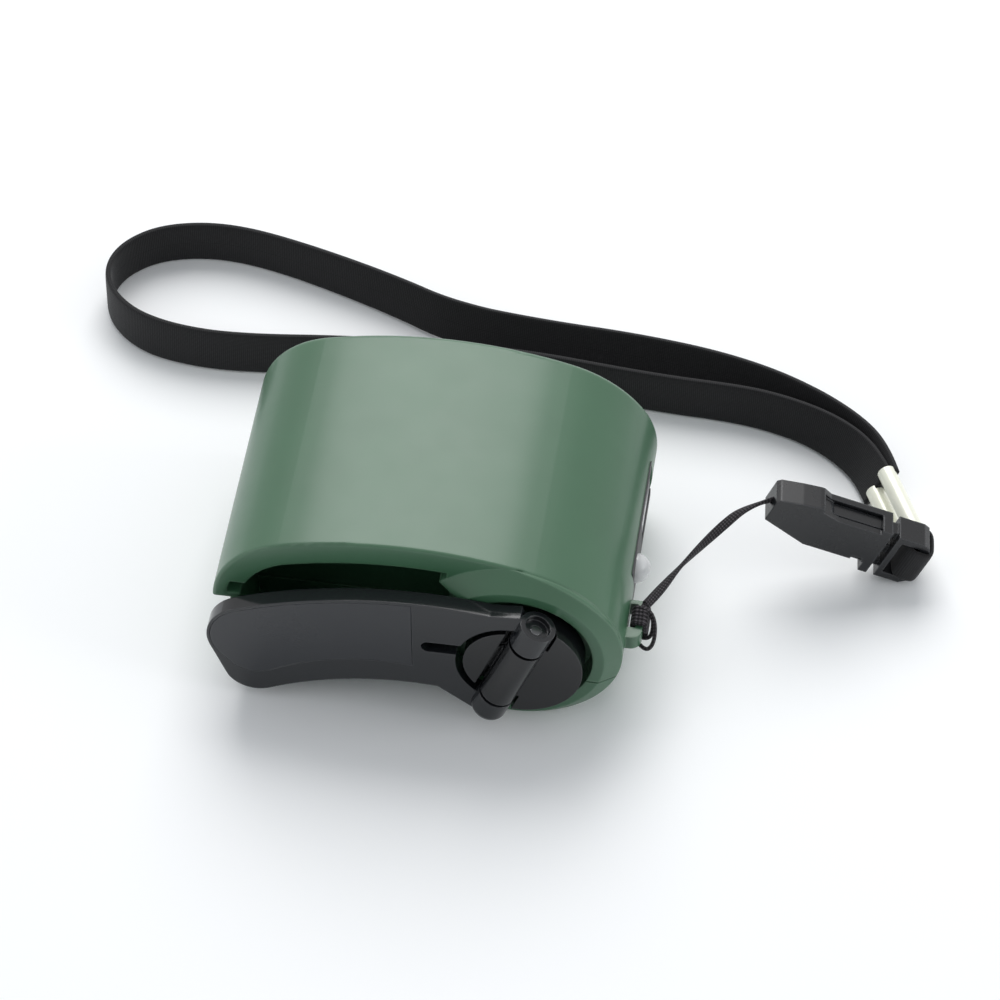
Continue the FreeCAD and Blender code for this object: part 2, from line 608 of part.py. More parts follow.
def shells():
    """Upper and lower shell with their bosses, window, bores and screw holes."""
    recess, corner, notch = finger_recess()
    lug_base, lug_eye = lug()
    solid_hollow = cut("inside", case_hollow(), notch_lining())
    body = cut("case_body", fuse("case_solid", rounded_block(), rim(), lug_base), solid_hollow)
    well = rod("well", at_y(hub, rim_top - 1), "dims.rim_radius", "dims.well_depth + 1")
    bore = rod("bush_bore", at_y(hub, well_floor - 1), "dims.shaft_radius + dims.shaft_fit + dims.bush_wall",
               "dims.wall + 2")
    window_at = (s["panel_x"] - 3 * s["panel_thick"], s["panel_front_y"], s["seam_height"] - 1)
    window = box("panel_window", window_at,
                 "3 * dims.panel_thick + 3", "dims.panel_length", "dims.panel_top - dims.seam_height + 1")
    opened = cut("case_open", body, recess, corner, notch, well, bore, lug_eye)
    below = box("below_seam", (-50, -50, -5), 100, 100, "5 + dims.seam_height")
    bosses_up, bosses_low, holes = [], [], []
    boss_radius = "dims.screw_radius + dims.boss_wall"
    head = s["seam_height"] - s["screw_sink"]
    for n, (x, y) in enumerate(screw_places(), start=1):
        bosses_up.append(rod(f"boss_up_{n}", (x, y, s["seam_height"]), boss_radius,
                             "dims.case_depth", UPRIGHT))
        bosses_low.append(rod(f"boss_low_{n}", (x, y, 0), "dims.screw_head_radius + dims.boss_wall",
                              "dims.seam_height", UPRIGHT))
        holes.append(rod(f"head_hole_{n}", (x, y, -1), "dims.screw_head_radius + dims.fit", head + 1, UPRIGHT))
        holes.append(rod(f"shank_hole_{n}", (x, y, head - 1), "dims.screw_radius + dims.fit",
                         "dims.screw_length + 1.6", UPRIGHT))
    space = bean("boss_space", back - 0.5, "dims.case_depth - 1", "wall")
    up = common("bosses_up_fit", fuse("bosses_up", *bosses_up), space)
    outside = bean("boss_outside", back - 0.5, "dims.case_depth - 1")
    low = common("bosses_low_fit", fuse("bosses_low", *bosses_low), outside)
    rests = []
    for n, x in enumerate((s["board_left_x"] + 5.5, s["board_left_x"] + 25.5), start=1):
        rests.append(rod(f"board_rest_{n}", (x, s["board_front_y"] + s["board_width"] / 2, 0), 1.8,
                         "dims.board_height", UPRIGHT))
    rests_fit = common("board_rests_fit", fuse("board_rests", *rests), space)
    upper_part = cut("upper_part", opened, below, window)
    upper = cut("upper_drilled", fuse("upper_joined", upper_part, up), *holes)
    lower_part = common("lower_part", opened, below)
    lower = cut("lower_drilled", fuse("lower_joined", lower_part, low, rests_fit), *holes, seam_groove())
    node("upper_shell", upper)
    node("lower_shell", lower)


# ---------------------------------------------------------------------------------------------
# Crank: hub, hinged arm with its cover plate, and the grip that folds into the arm's back
# ---------------------------------------------------------------------------------------------
lean = math.radians(s["hinge_tilt"])
hinge_way = Vector(math.sin(lean), 0, math.cos(lean))
hinge_middle = Vector(hub[0], hinge_y, hub[1])
ALONG_HINGE = Rotation(Vector(0, 0, 1), hinge_way)


def on_hinge(name, start, radius, length):
    """A rod on the hinge line; start is its distance from the middle, upwards."""
    return rod(name, hinge_middle + hinge_way * start, radius, length, ALONG_HINGE)


def right_of_hinge(name):
    """A large block whose left face holds the hinge line."""
    turn = Rotation(Vector(0, 1, 0), s["hinge_tilt"])
    half = box(name, (0, 0, 0), 60, 60, 120, turn)
    half.Placement = Placement(hinge_middle - turn.multVec(Vector(0, 30, 60)), turn)
    return half


def crank_hub():
    """Disc, face and neck in one, with the middle part of the hinge barrel."""
    disc = rod("hub_disc", at_y(hub, cap_front), "dims.rotor_radius", "dims.rotor_thick")
    cap_middle = (hub[0] + s["cap_shift"], hub[1])
    cap = common("hub_cap", rod("hub_cap_disc", at_y(cap_middle, cap_front), "dims.cap_radius",
                                "dims.rotor_thick"), right_of_hinge("cap_half"))
    neck_end = well_floor - s["arm_gap"]
    neck = rod("hub_neck", at_y(hub, cap_front + 1), "dims.boss_radius", neck_end - cap_front - 1)
    half = s["hinge_middle"] / 2
    barrel = on_hinge("hub_barrel", -half, "dims.hinge_radius", "dims.hinge_middle")
    reliefs = [on_hinge(f"hub_relief_{side}", start, "dims.hinge_radius + dims.hinge_gap", 8)
               for side, start in (("up", half), ("low", -half - 8))]
    turn = Rotation(Vector(0, 1, 0), s["hinge_tilt"])
    groove = box("hub_groove", (0, 0, 0), "2 * dims.groove_width", "dims.groove_depth + 1",
                 "2 * dims.rotor_radius")
    groove_at = Vector(-s["hinge_radius"] - s["groove_width"], cap_front - 1 - hinge_y, -s["rotor_radius"])
    groove.Placement = Placement(hinge_middle + turn.multVec(groove_at), turn)
    disc_part = cut("hub_relieved", fuse("hub_discs", disc, cap), groove, *reliefs)
    pin_hole = on_hinge("hub_pin_hole", -20, "dims.hinge_pin_radius + dims.fit", 40)
    shaft_hole = rod("hub_shaft_hole", at_y(hub, cap_front + 1.8), "dims.shaft_radius", 12)
    node("crank_hub", cut("hub_bored", fuse("hub_joined", disc_part, neck, barrel), pin_hole, shaft_hole))


def arm_sheet(name, y_back, depth, arch, corner, toe, toe_height, waist, waist_top, end_x):
    """The arm's outline, closed by an upright edge at end_x; arguments after depth are (value, expression)."""
    body = doc.addObject("PartDesign::Body", name)
    sketch = body.newObject("Sketcher::SketchObject", name + "_outline")
    sketch.AttachmentSupport = [(origin_plane(body, "XZ_Plane"), "")]
    sketch.MapMode = "FlatFace"
    corner_at = (s["arm_tip_x"], s["arm_corner_height"])
    toe_at = (s["arm_tip_x"], toe_height[0])
    arch_z = s["arm_arch_top"] - s["arm_arch_radius"]
    reach = s["arm_arch_radius"] - s["arm_corner_radius"]
    arch_at = (corner_at[0] + math.sqrt(reach**2 - (arch_z - corner_at[1]) ** 2), arch_z)
    waist_z = waist_top[0] - waist[0]
    waist_reach = waist[0] + toe[0]
    waist_at = (toe_at[0] + math.sqrt(waist_reach**2 - (waist_z - toe_at[1]) ** 2), waist_z)
    arch_corner = toward(arch_at, corner_at, arch[0])
    arch_end = (end_x[0], arch_z + math.sqrt(arch[0] ** 2 - (end_x[0] - arch_at[0]) ** 2))
    waist_end = (end_x[0], waist_z + math.sqrt(waist[0] ** 2 - (end_x[0] - waist_at[0]) ** 2))
    flank_top, flank_low = outer_tangent(corner_at, corner[0], toe_at, toe[0])
    draw = Outline(sketch)
    draw.arc(arch_at, arch[0], arch_end, arch_corner, arch[1], None, "dims.arm_arch_top - dims.arm_arch_radius")
    draw.arc(corner_at, corner[0], arch_corner, flank_top, corner[1], "dims.arm_tip_x",
             "dims.arm_corner_height")
    draw.line(flank_top, flank_low)
    toe_waist = toward(waist_at, toe_at, waist[0])
    draw.arc(toe_at, toe[0], flank_low, toe_waist, toe[1], "dims.arm_tip_x", toe_height[1])
    draw.arc(waist_at, waist[0], toe_waist, waist_end, waist[1], None, f"{waist_top[1]} - {waist[1]}",
             hollow=True)
    edge = draw.line(waist_end, arch_end, "Vertical")
    draw.limit("DistanceX", -1, 1, edge, 1, end_x[0], expression=end_x[1])
    draw.join(corners=(4, 5))
    pad = body.newObject("PartDesign::Pad", name + "_pad")
    pad.Profile = sketch
    bind(pad, Length=depth)
    body.Tip = pad
    body.Placement = Placement(Vector(0, y_back, 0), UPRIGHT)
    return body


def sized(name, less=0.0):
    """A sheet value with something taken off, as the number and as the expression for it."""
    return size[name] - less, f"(dims.{name} - {less})"


def inlay_block(name, y_back, depth, grow):
    """The cover plate's outline, or the slightly larger outline of its seat."""
    side = s["inlay_margin"] - grow
    return arm_sheet(name, y_back, depth, sized("arm_arch_radius", side), sized("arm_corner_radius", side),
                     sized("inlay_toe_radius", -grow), sized("inlay_toe_height"),
                     sized("inlay_waist_radius", grow), sized("inlay_waist_top", grow),
                     sized("inlay_end_x", -grow))


grip_y = arm_back + s["grip_rise"]
grip_floor = grip_y - s["grip_radius"] - 0.15
grip_end_x = s["grip_pivot_x"] + s["grip_start"] + s["grip_length"] + s["fit"] + s["grip_head"]


WEB_UP = [(10.0, 24.0), (10.0, 26.9), (17.2, 27.5), (18.5, 24.0)]
WEB_LOW = [(3.8, 9.5), (3.8, 8.0), (9.3, 3.7), (12.0, 6.0), (12.0, 9.5)]


def lower_knuckle(start, share):
    """The barrel's lower end piece, with its free end rounded."""
    piece = on_hinge("knuckle_low", start, "dims.hinge_radius", share)
    doc.recompute()
    free_end = hinge_middle + hinge_way * start
    rounded = doc.addObject("Part::Fillet", "knuckle_low_rounded")
    rounded.Base = piece
    at_end = [n for n, edge in enumerate(piece.Shape.Edges, start=1)
              if edge.Closed and (edge.CenterOfMass - free_end).Length < 0.01]
    rounded.Edges = [(n, s["hinge_round"], s["hinge_round"]) for n in at_end]
    return rounded


def crank_arm():
    """Bean shaped plate with both end parts of the hinge barrel, the ears of the grip and the grip's hollow."""
    plate = arm_sheet("arm_plate", arm_back, "dims.arm_thick", sized("arm_arch_radius"),
                      sized("arm_corner_radius"), sized("arm_toe_radius"), sized("arm_toe_height"),
                      sized("arm_waist_radius"), sized("arm_waist_top"), sized("hub_x", -9.0))
    webs = [prism(f"web_{side}", corners, arm_front, s["arm_thick"])
            for side, corners in (("up", WEB_UP), ("low", WEB_LOW))]
    round_cut = rod("arm_round_cut", at_y(hub, arm_front - 1), "dims.arm_cut_radius", "dims.arm_thick + 2")
    slot_far = s["slot_width"] / 2
    slot_end = (s["slot_end_x"] + slot_far, s["slot_height"])
    slot_round = rod("slot_round", at_y(slot_end, arm_front - 1), "dims.slot_width / 2", "dims.arm_thick + 2")
    slot_run = box("slot_run", (slot_end[0], arm_front - 1, s["slot_height"] - slot_far),
                   f"dims.hub_x - {slot_end[0]}", "dims.arm_thick + 2", "dims.slot_width")
    seat = inlay_block("inlay_seat", arm_front + s["inlay_thick"], "dims.inlay_thick + 1", s["inlay_gap"])
    clear = s["grip_clear"]
    wide = s["grip_radius"] + clear
    hollow = box("grip_hollow", (s["grip_pivot_x"] - 2.6, grip_floor, s["grip_height"] - wide),
                 grip_end_x + clear - s["grip_pivot_x"] + 2.6, arm_back - grip_floor + 1,
                 "2 * (dims.grip_radius + dims.grip_clear)")
    webbed = fuse("arm_webbed", plate, *webs)
    sheet_part = cut("arm_cut", webbed, right_of_hinge("arm_half"), round_cut, slot_round, slot_run, seat,
                     hollow)
    half = s["hinge_length"] / 2
    share = half - s["hinge_middle"] / 2 - s["hinge_gap"]
    knuckles = [on_hinge("knuckle_up", half - share, "dims.hinge_radius", share), lower_knuckle(-half, share)]
    ears = []
    inner = s["grip_eye"] / 2 + s["ear_gap"]
    for side, z in (("up", s["grip_height"] + inner), ("low", s["grip_height"] - inner - s["ear_thick"])):
        ears.append(rod(f"ear_{side}", (s["grip_pivot_x"], grip_y, z), 1.8, "dims.ear_thick", UPRIGHT))
        ears.append(box(f"ear_foot_{side}", (s["grip_pivot_x"] - 1.8, grip_floor - 0.2, z), 3.6,
                        grip_y - grip_floor + 0.2, "dims.ear_thick"))
    joined = fuse("arm_joined", sheet_part, *knuckles, *ears)
    pin_hole = on_hinge("arm_pin_hole", -half + s["hinge_recess"], "dims.hinge_pin_radius", 40)
    pin_recess = on_hinge("pin_recess", half - s["hinge_recess"], "dims.hinge_radius - dims.hinge_pin_radius",
                          "dims.hinge_recess + 1")
    grip_hole = rod("ear_hole", (s["grip_pivot_x"], grip_y, s["grip_height"] - 6), "dims.grip_pin_radius", 12,
                    UPRIGHT)
    node("crank_arm", cut("arm_bored", joined, pin_hole, grip_hole, pin_recess))
    node("arm_cover", inlay_block("arm_cover_body", arm_front + s["inlay_thick"], "dims.inlay_thick", 0.0))
    pin_length = 2 * (half - s["hinge_recess"])
    node("hinge_pin", on_hinge("hinge_pin_rod", -pin_length / 2, "dims.hinge_pin_radius", pin_length))


def grip():
    """Flat eyed rod, the sleeve that turns on it, and the small pin it folds on."""
    z = s["grip_height"]
    pivot = (s["grip_pivot_x"], grip_y)
    eye = rod("grip_eye_disc", (*pivot, z - s["grip_eye"] / 2), 1.6, "dims.grip_eye", UPRIGHT)
    reach = grip_end_x - s["grip_pivot_x"]
    bar = rod("grip_bar", (*pivot, z), "dims.grip_core_radius", reach, ALONG_X)
    head = rod("grip_head_disc", (grip_end_x - s["grip_head"], grip_y, z), "dims.grip_radius - 0.5",
               "dims.grip_head", ALONG_X)
    hole = rod("grip_eye_hole", (*pivot, z - 3), "dims.grip_pin_radius + 0.08", 6, UPRIGHT)
    node("grip_core", cut("grip_core_bored", fuse("grip_core_joined", eye, bar, head), hole))
    sleeve_x = s["grip_pivot_x"] + s["grip_start"]
    outer = rod("sleeve_outer", (sleeve_x, grip_y, z), "dims.grip_radius", "dims.grip_length", ALONG_X)
    inner = rod("sleeve_bore", (sleeve_x - 1, grip_y, z), "dims.grip_core_radius + dims.grip_fit",
                "dims.grip_length + 2", ALONG_X)
    node("grip_sleeve", cut("sleeve", outer, inner))
    pin_length = s["grip_eye"] + 2 * (s["ear_gap"] + s["ear_thick"])
    node("grip_pin", rod("grip_pin_rod", (*pivot, z - pin_length / 2), "dims.grip_pin_radius", pin_length,
                         UPRIGHT))


# ---------------------------------------------------------------------------------------------
# Gear train between two plates
# ---------------------------------------------------------------------------------------------
def tooth_points(teeth):
    """Half profile of an involute tooth as (radius, half angle) pairs, root to tip, with some backlash."""
    module = s["gear_module"]
    pitch = module * teeth / 2
    pressure = math.radians(20)
    base = pitch * math.cos(pressure)
    tip = pitch + 0.8 * module
    root = pitch - 1.2 * module
    backlash = 0.16 * module
    half = (math.pi * module / 2 - backlash) / (2 * pitch)
    spread = lambda r: math.tan(math.acos(base / r)) - math.acos(base / r)
    at_pitch = spread(pitch)
    radii = [max(base, root) + (tip - max(base, root)) * n / 2 for n in range(3)]
    points = [(r, half + at_pitch - spread(r)) for r in radii]
    if root < base:
        points.insert(0, (root, points[0][1]))
    return points


def gear(name, teeth, middle, y, width, tooth_angle):
    """A spur gear lying across Y with a tooth pointing at the given angle from X towards Z."""
    profile = tooth_points(teeth)
    corners = []
    for n in range(teeth):
        turn = math.radians(tooth_angle) + 2 * math.pi * n / teeth
        for radius, half in profile:
            corners.append((radius, turn - half))
        for radius, half in reversed(profile):
            corners.append((radius, turn + half))
    ring = [Vector(middle[0] + r * math.cos(a), y, middle[1] + r * math.sin(a)) for r, a in corners]
    face = Part.Face(Part.makePolygon(ring + ring[:1]))
    return shaped(name, face.extrude(Vector(0, width, 0)))


def gears():
    """Crank gear, two compound gears and the dynamo's pinion, each phased so that its teeth mesh."""
    face = s["gear_face"]
    half_pitch = lambda teeth: 180.0 / teeth
    bore = lambda name, middle, radius: rod(name, at_y(middle, gears_from - 5), radius, 30)
    first_in = s["first_angle"]
    drive = gear("drive_teeth", s["crank_teeth"], hub, layers[0], face, first_in)
    node("drive_gear", cut("drive_gear_bored", drive, bore("drive_bore", hub, "dims.shaft_radius")))
    pinion_one = gear("first_pinion", s["small_teeth"], first_axle, layers[0], layer_step + 0.1,
                      first_in + 180 + half_pitch(s["small_teeth"]))
    wheel_one = gear("first_wheel", s["middle_teeth"], first_axle, layers[1], face, s["second_angle"])
    bore_one = bore("first_bore", first_axle, "dims.pin_radius + dims.shaft_fit")
    node("compound_gear_1", cut("compound_1_bored", fuse("compound_1", pinion_one, wheel_one), bore_one))
    pinion_two = gear("second_pinion", s["small_teeth"], second_axle, layers[1], layer_step + 0.1,
                      s["second_angle"] + 180 + half_pitch(s["small_teeth"]))
    wheel_two = gear("second_wheel", s["last_teeth"], second_axle, layers[2], face, s["third_angle"])
    bore_two = bore("second_bore", second_axle, "dims.pin_radius + dims.shaft_fit")
    node("compound_gear_2", cut("compound_2_bored", fuse("compound_2", pinion_two, wheel_two), bore_two))
    pinion = gear("dynamo_teeth_ring", s["dynamo_teeth"], dynamo_axle, layers[2], face,
                  s["third_angle"] + 180 + half_pitch(s["dynamo_teeth"]))
    node("dynamo_pinion", cut("dynamo_pinion_bored", pinion, bore("pinion_bore", dynamo_axle,
                                                                 "dims.dynamo_shaft_radius")))


POSTS = [(-22.0, 9.0), (-13.5, 28.2), (14.5, 28.4)]


def gear_plates():
    """Two plates as wide as the case's inside, their posts and screws, and the gears' fixed pins."""
    left = s["notch_x"] + s["wall"] + 0.3
    for label, y, extra in (("gear_plate_front", plate_front, []), ("gear_plate_back", plate_back, ["dynamo"])):
        whole = bean(label + "_block", y + s["plate_thick"], "dims.plate_thick", "wall")
        span = box(label + "_span", (left, y - 1, 0), s["plate_end_x"] - left, "dims.plate_thick + 2", 60)
        holes = [rod(f"{label}_shaft_hole", at_y(hub, y - 1), "dims.shaft_radius + dims.shaft_fit", 5)]
        for n, axle in enumerate((first_axle, second_axle), start=1):
            holes.append(rod(f"{label}_pin_hole_{n}", at_y(axle, y - 1), "dims.pin_radius", 5))
        if extra:
            holes.append(rod("plate_dynamo_hole", at_y(dynamo_axle, y - 1),
                             "dims.dynamo_shaft_radius + 1.2", 5))
        for n, post in enumerate(POSTS, start=1):
            holes.append(rod(f"{label}_screw_hole_{n}", at_y(post, y - 1), "dims.plate_screw_radius", 5))
            if label == "gear_plate_back":
                holes.append(rod(f"{label}_sink_{n}", at_y(post, dynamo_front - s["sink_depth"]),
                                 "dims.sink_radius", 5))
        node(label, cut(label + "_drilled", common(label + "_cut", whole, span), *holes))
    gap = plate_back - plate_front - s["plate_thick"]
    posts = [rod(f"post_{n}", at_y(post, plate_front + s["plate_thick"]), "dims.post_radius", gap)
             for n, post in enumerate(POSTS, start=1)]
    bores = [rod(f"post_bore_{n}", at_y(post, plate_front), "dims.plate_screw_radius", gap + 4)
             for n, post in enumerate(POSTS, start=1)]
    node("plate_posts", cut("posts_bored", fuse("posts", *posts), *bores))
    screws = []
    for n, post in enumerate(POSTS, start=1):
        screws.append(rod(f"plate_screw_{n}", at_y(post, plate_back - s["plate_screw_grip"]),
                          "dims.plate_screw_radius", "dims.plate_screw_grip + dims.plate_thick / 2"))
        screws.append(rod(f"plate_screw_head_{n}", at_y(post, dynamo_front - s["sink_depth"]),
                          "dims.sink_radius", "dims.sink_depth - dims.fit"))
    node("plate_screws", fuse("plate_screws_group", *screws))
    pin_length = plate_back + s["plate_thick"] - plate_front
    for n, axle in enumerate((first_axle, second_axle), start=1):
        node(f"gear_pin_{n}", rod(f"gear_pin_rod_{n}", at_y(axle, plate_front), "dims.pin_radius", pin_length))


def crank_shaft():
    """Steel shaft from the hub to the back plate, its flanged bush and its retaining ring."""
    start = cap_front + 1.8
    ring_y = dynamo_front + 0.15
    end = ring_y + 1.3
    shaft = rod("shaft_rod", at_y(hub, start), "dims.shaft_radius", end - start)
    groove = cut("ring_groove", rod("groove_outer", at_y(hub, ring_y), 3, 0.6),
                 rod("groove_inner", at_y(hub, ring_y - 1), 1.5, 3))
    node("crank_shaft", cut("shaft_grooved", shaft, groove))
    outer = rod("clip_outer", at_y(hub, ring_y), 3.2, 0.6)
    inner = rod("clip_inner", at_y(hub, ring_y - 1), 1.5, 3)
    mouth = box("clip_mouth", (hub[0] - 1.3, ring_y - 1, hub[1] - 5), 2.6, 3, 5)
    node("shaft_clip", cut("clip_open", outer, inner, mouth))
    bush_outer = "dims.shaft_radius + dims.shaft_fit + dims.bush_wall"
    sleeve = rod("bush_sleeve", at_y(hub, well_floor), bush_outer, "dims.wall")
    flange = rod("bush_flange", at_y(hub, well_floor + s["wall"]), bush_outer + " + 1", 1.0)
    bore = rod("bush_inner", at_y(hub, well_floor - 1), "dims.shaft_radius + dims.shaft_fit", 6)
    node("front_bush", cut("bush_bored", fuse("bush_joined", sleeve, flange), bore))


def dynamo():
    """Can with its winding, end cap, and the shaft that carries magnet and pinion."""
    y0, length = dynamo_front, s["can_length"]
    outer = rod("can_outer", at_y(dynamo_axle, y0), "dims.can_radius", "dims.can_length")
    inner = rod("can_inner", at_y(dynamo_axle, y0 + s["can_wall"]), "dims.can_radius - dims.can_wall",
                "dims.can_length")
    nose_hole = rod("can_hole", at_y(dynamo_axle, y0 - 1), "dims.dynamo_shaft_radius + dims.shaft_fit", 4)
    node("dynamo_can", cut("can_open", outer, inner, nose_hole))
    cap_y = y0 + length - 1.4
    cap = rod("end_cap_disc", at_y(dynamo_axle, cap_y), "dims.can_radius - dims.can_wall", 1.4)
    cap_hole = rod("end_cap_hole", at_y(dynamo_axle, cap_y - 1), "dims.dynamo_shaft_radius + dims.shaft_fit", 4)
    node("dynamo_end_cap", cut("end_cap_bored", cap, cap_hole))
    coil_y = y0 + s["can_wall"] + 1.2
    coil_length = length - s["can_wall"] - 1.4 - 2.4
    coil_outer = rod("coil_outer", at_y(dynamo_axle, coil_y), "dims.can_radius - dims.can_wall", coil_length)
    coil_bore = rod("coil_bore", at_y(dynamo_axle, coil_y - 1),
                    "dims.can_radius - dims.can_wall - dims.coil_thick", coil_length + 2)
    node("dynamo_winding", cut("coil_ring", coil_outer, coil_bore))
    magnet = rod("magnet_disc", at_y(dynamo_axle, coil_y + s["magnet_play"]),
                 "dims.can_radius - dims.can_wall - dims.coil_thick - dims.air_gap",
                 f"{coil_length} - 2 * dims.magnet_play")
    magnet_bore = rod("magnet_bore", at_y(dynamo_axle, coil_y - 1), "dims.dynamo_shaft_radius", coil_length + 2)
    node("dynamo_magnet", cut("magnet_ring", magnet, magnet_bore))
    start = layers[2] - 0.2
    node("dynamo_shaft", rod("dynamo_shaft_rod", at_y(dynamo_axle, start), "dims.dynamo_shaft_radius",
                             cap_y + 1.4 + 0.3 - start))


# ---------------------------------------------------------------------------------------------
# Circuit board, charging socket, lamp and the end panel they show through
# ---------------------------------------------------------------------------------------------
def electrics():
    x0, y0 = s["board_left_x"], s["board_front_y"]
    top = s["board_height"] + s["board_thick"]
    middle_y = y0 + s["board_width"] / 2
    node("circuit_board", box("board", (x0, y0, s["board_height"]), "dims.board_length", "dims.board_width",
                              "dims.board_thick"))
    usb_x = s["panel_x"] - 0.2 - s["usb_depth"]
    metal = s["usb_sheet"]
    outer = box("usb_outer", (usb_x, middle_y - s["usb_width"] / 2, top), "dims.usb_depth", "dims.usb_width",
                "dims.usb_height")
    inner = box("usb_inner", (usb_x + metal, middle_y - s["usb_width"] / 2 + metal, top + metal),
                "dims.usb_depth", "dims.usb_width - 2 * dims.usb_sheet", "dims.usb_height - 2 * dims.usb_sheet")
    node("usb_shell", cut("usb_open", outer, inner))
    tongue_back = box("usb_block", (usb_x + metal, middle_y - s["usb_width"] / 2 + metal, top + metal), 3,
                      "dims.usb_width - 2 * dims.usb_sheet", "dims.usb_height - 2 * dims.usb_sheet")
    tongue = box("usb_tongue_plate", (usb_x + metal + 1, middle_y - 4.6, top + metal + 2.2),
                 "dims.usb_depth - 3", 9.2, 1.5)
    node("usb_tongue", fuse("usb_insulator", tongue_back, tongue))
    panel = box("panel_block", (s["panel_x"] - s["panel_thick"], s["panel_front_y"], s["seam_height"]),
                "dims.panel_thick", "dims.panel_length", "dims.panel_top - dims.seam_height")
    fit = s["fit"]
    usb_hole = box("panel_usb_hole", (s["panel_x"] - 5, middle_y - s["usb_width"] / 2 - fit, top - fit), 10,
                   "dims.usb_width + 2 * dims.fit", "dims.usb_height + 2 * dims.fit")
    led_at = (s["led_y"], s["led_height"])
    led_hole = rod("panel_led_hole", (s["panel_x"] - 5, *led_at), "dims.led_radius", 10, ALONG_X)
    node("end_panel", cut("panel_cut", panel, usb_hole, led_hole))
    tip = s["panel_x"] + s["led_out"]
    dome_x = tip - s["led_radius"]
    stem_x = tip - s["led_length"]
    stem = rod("led_stem", (stem_x, *led_at), "dims.led_radius", dome_x - stem_x, ALONG_X)
    dome = solid("Sphere", "led_dome", (dome_x, *led_at), Radius="dims.led_radius")
    flange = rod("led_rim", (stem_x, *led_at), "dims.led_radius + dims.led_flange", 1.0, ALONG_X)
    node("charge_lamp", fuse("lamp", stem, dome, flange))
    node("capacitor", rod("capacitor_can", (x0 + 4.5, y0 + 4.5, top), 3.15, 8.0, UPRIGHT))
    node("inductor", rod("inductor_drum", (x0 + 13.0, y0 + 9.0, top), 2.9, 4.2, UPRIGHT))
    node("regulator", box("regulator_case", (x0 + 9.5, y0 + 1.2, top), 5.0, 4.0, 1.6))
    node("rectifier", box("rectifier_case", (x0 + 2.0, y0 + 9.0, top), 4.6, 2.6, 1.4))


# ---------------------------------------------------------------------------------------------
# Cords: straight runs joined by tangent arcs
# ---------------------------------------------------------------------------------------------
def route(name, points, closed=False):
    """The wire through the points, with each corner as large an arc as its two runs allow."""
    count = len(points)
    corners = range(count) if closed else range(1, count - 1)
    trimmed = {}
    bends = []
    for n in corners:
        before, here, after = points[n - 1], points[n], points[(n + 1) % count]
        way_in, way_out = (here - before), (after - here)
        short = min(way_in.Length, way_out.Length)
        way_in.normalize()
        way_out.normalize()
        turn = way_in.getAngle(way_out)
        tangent = 0.45 * short
        bends.append(tangent / math.tan(turn / 2))
        enter, leave = here - way_in * tangent, here + way_out * tangent
        inward = (way_out - way_in).normalize()
        middle = here + inward * (bends[-1] / math.cos(turn / 2) - bends[-1])
        trimmed[n] = (enter, middle, leave)
    edges = []
    last = trimmed[count - 1][2] if closed else points[0]
    for n in corners:
        enter, middle, leave = trimmed[n]
        edges.append(Part.LineSegment(last, enter).toShape())
        edges.append(Part.Arc(enter, middle, leave).toShape())
        last = leave
    if not closed:
        edges.append(Part.LineSegment(last, points[-1]).toShape())
    wire = Part.Wire(edges)
    print(f"{name}: length {wire.Length:.1f}, bends {', '.join(f'{b:.1f}' for b in bends)}")
    return wire


def tube(name, points, radius, closed=False):
    """A round cord along a route."""
    wire = route(name, points, closed)
    way = (wire.Edges[0].valueAt(wire.Edges[0].LastParameter) - wire.Edges[0].valueAt(0)).normalize()
    ring = Part.Wire(Part.Circle(wire.Edges[0].valueAt(0), way, radius).toShape())
    shape = wire.makePipeShell([ring], True, False)
    print(f"   volume {shape.Volume:.1f} for {math.pi * radius**2 * wire.Length:.1f}")
    return shape


def lug_loop():
    """The single cord wrapped round the lug's bar."""
    thick = s["loop_radius"] + 0.1
    x_in, x_out = s["lug_x"] - s["lug_bar"] - thick, s["lug_x"] + thick
    z_low = s["lug_height"] - s["lug_thick"] / 2 - thick
    z_high = s["lug_height"] + s["lug_thick"] / 2 + thick
    y = s["lug_front_y"] + s["lug_length"] - 3.2
    points = [Vector(x, y, z) for x, z in ((x_in, z_low), (x_out, z_low), (x_out, z_high), (x_in, z_high))]
    return tube("lanyard_loop", points, s["loop_radius"], closed=True)


buckle_turn = Rotation(Vector(0, 0, 1), s["buckle_yaw"]).multiply(Rotation(Vector(0, 1, 0), s["buckle_pitch"]))
buckle_place = Placement(Vector(s["buckle_x"], s["buckle_y"], s["buckle_z"]), buckle_turn)
CORD_ROUTE = [(36.9, -15.6, 16.3), (37.6, -10.6, 15.9), (40.2, -4.7, 16.3), (45.9, 4.0, 17.0),
              (49.6, 8.75, 17.4)]
CORD_END = (0.4, 0, 7.85)


def lanyard():
    """The doubled cord from the lug's loop to the buckle."""
    node("lanyard_loop", shaped("lanyard_loop_tube", lug_loop()))
    points = [Vector(*point) for point in CORD_ROUTE] + [buckle_place.multVec(Vector(*CORD_END))]
    print("buckle end of the cord:", [round(v, 3) for v in points[-1]])
    node("lanyard_cord", shaped("lanyard_tube", tube("lanyard_cord", points, s["cord_radius"])))


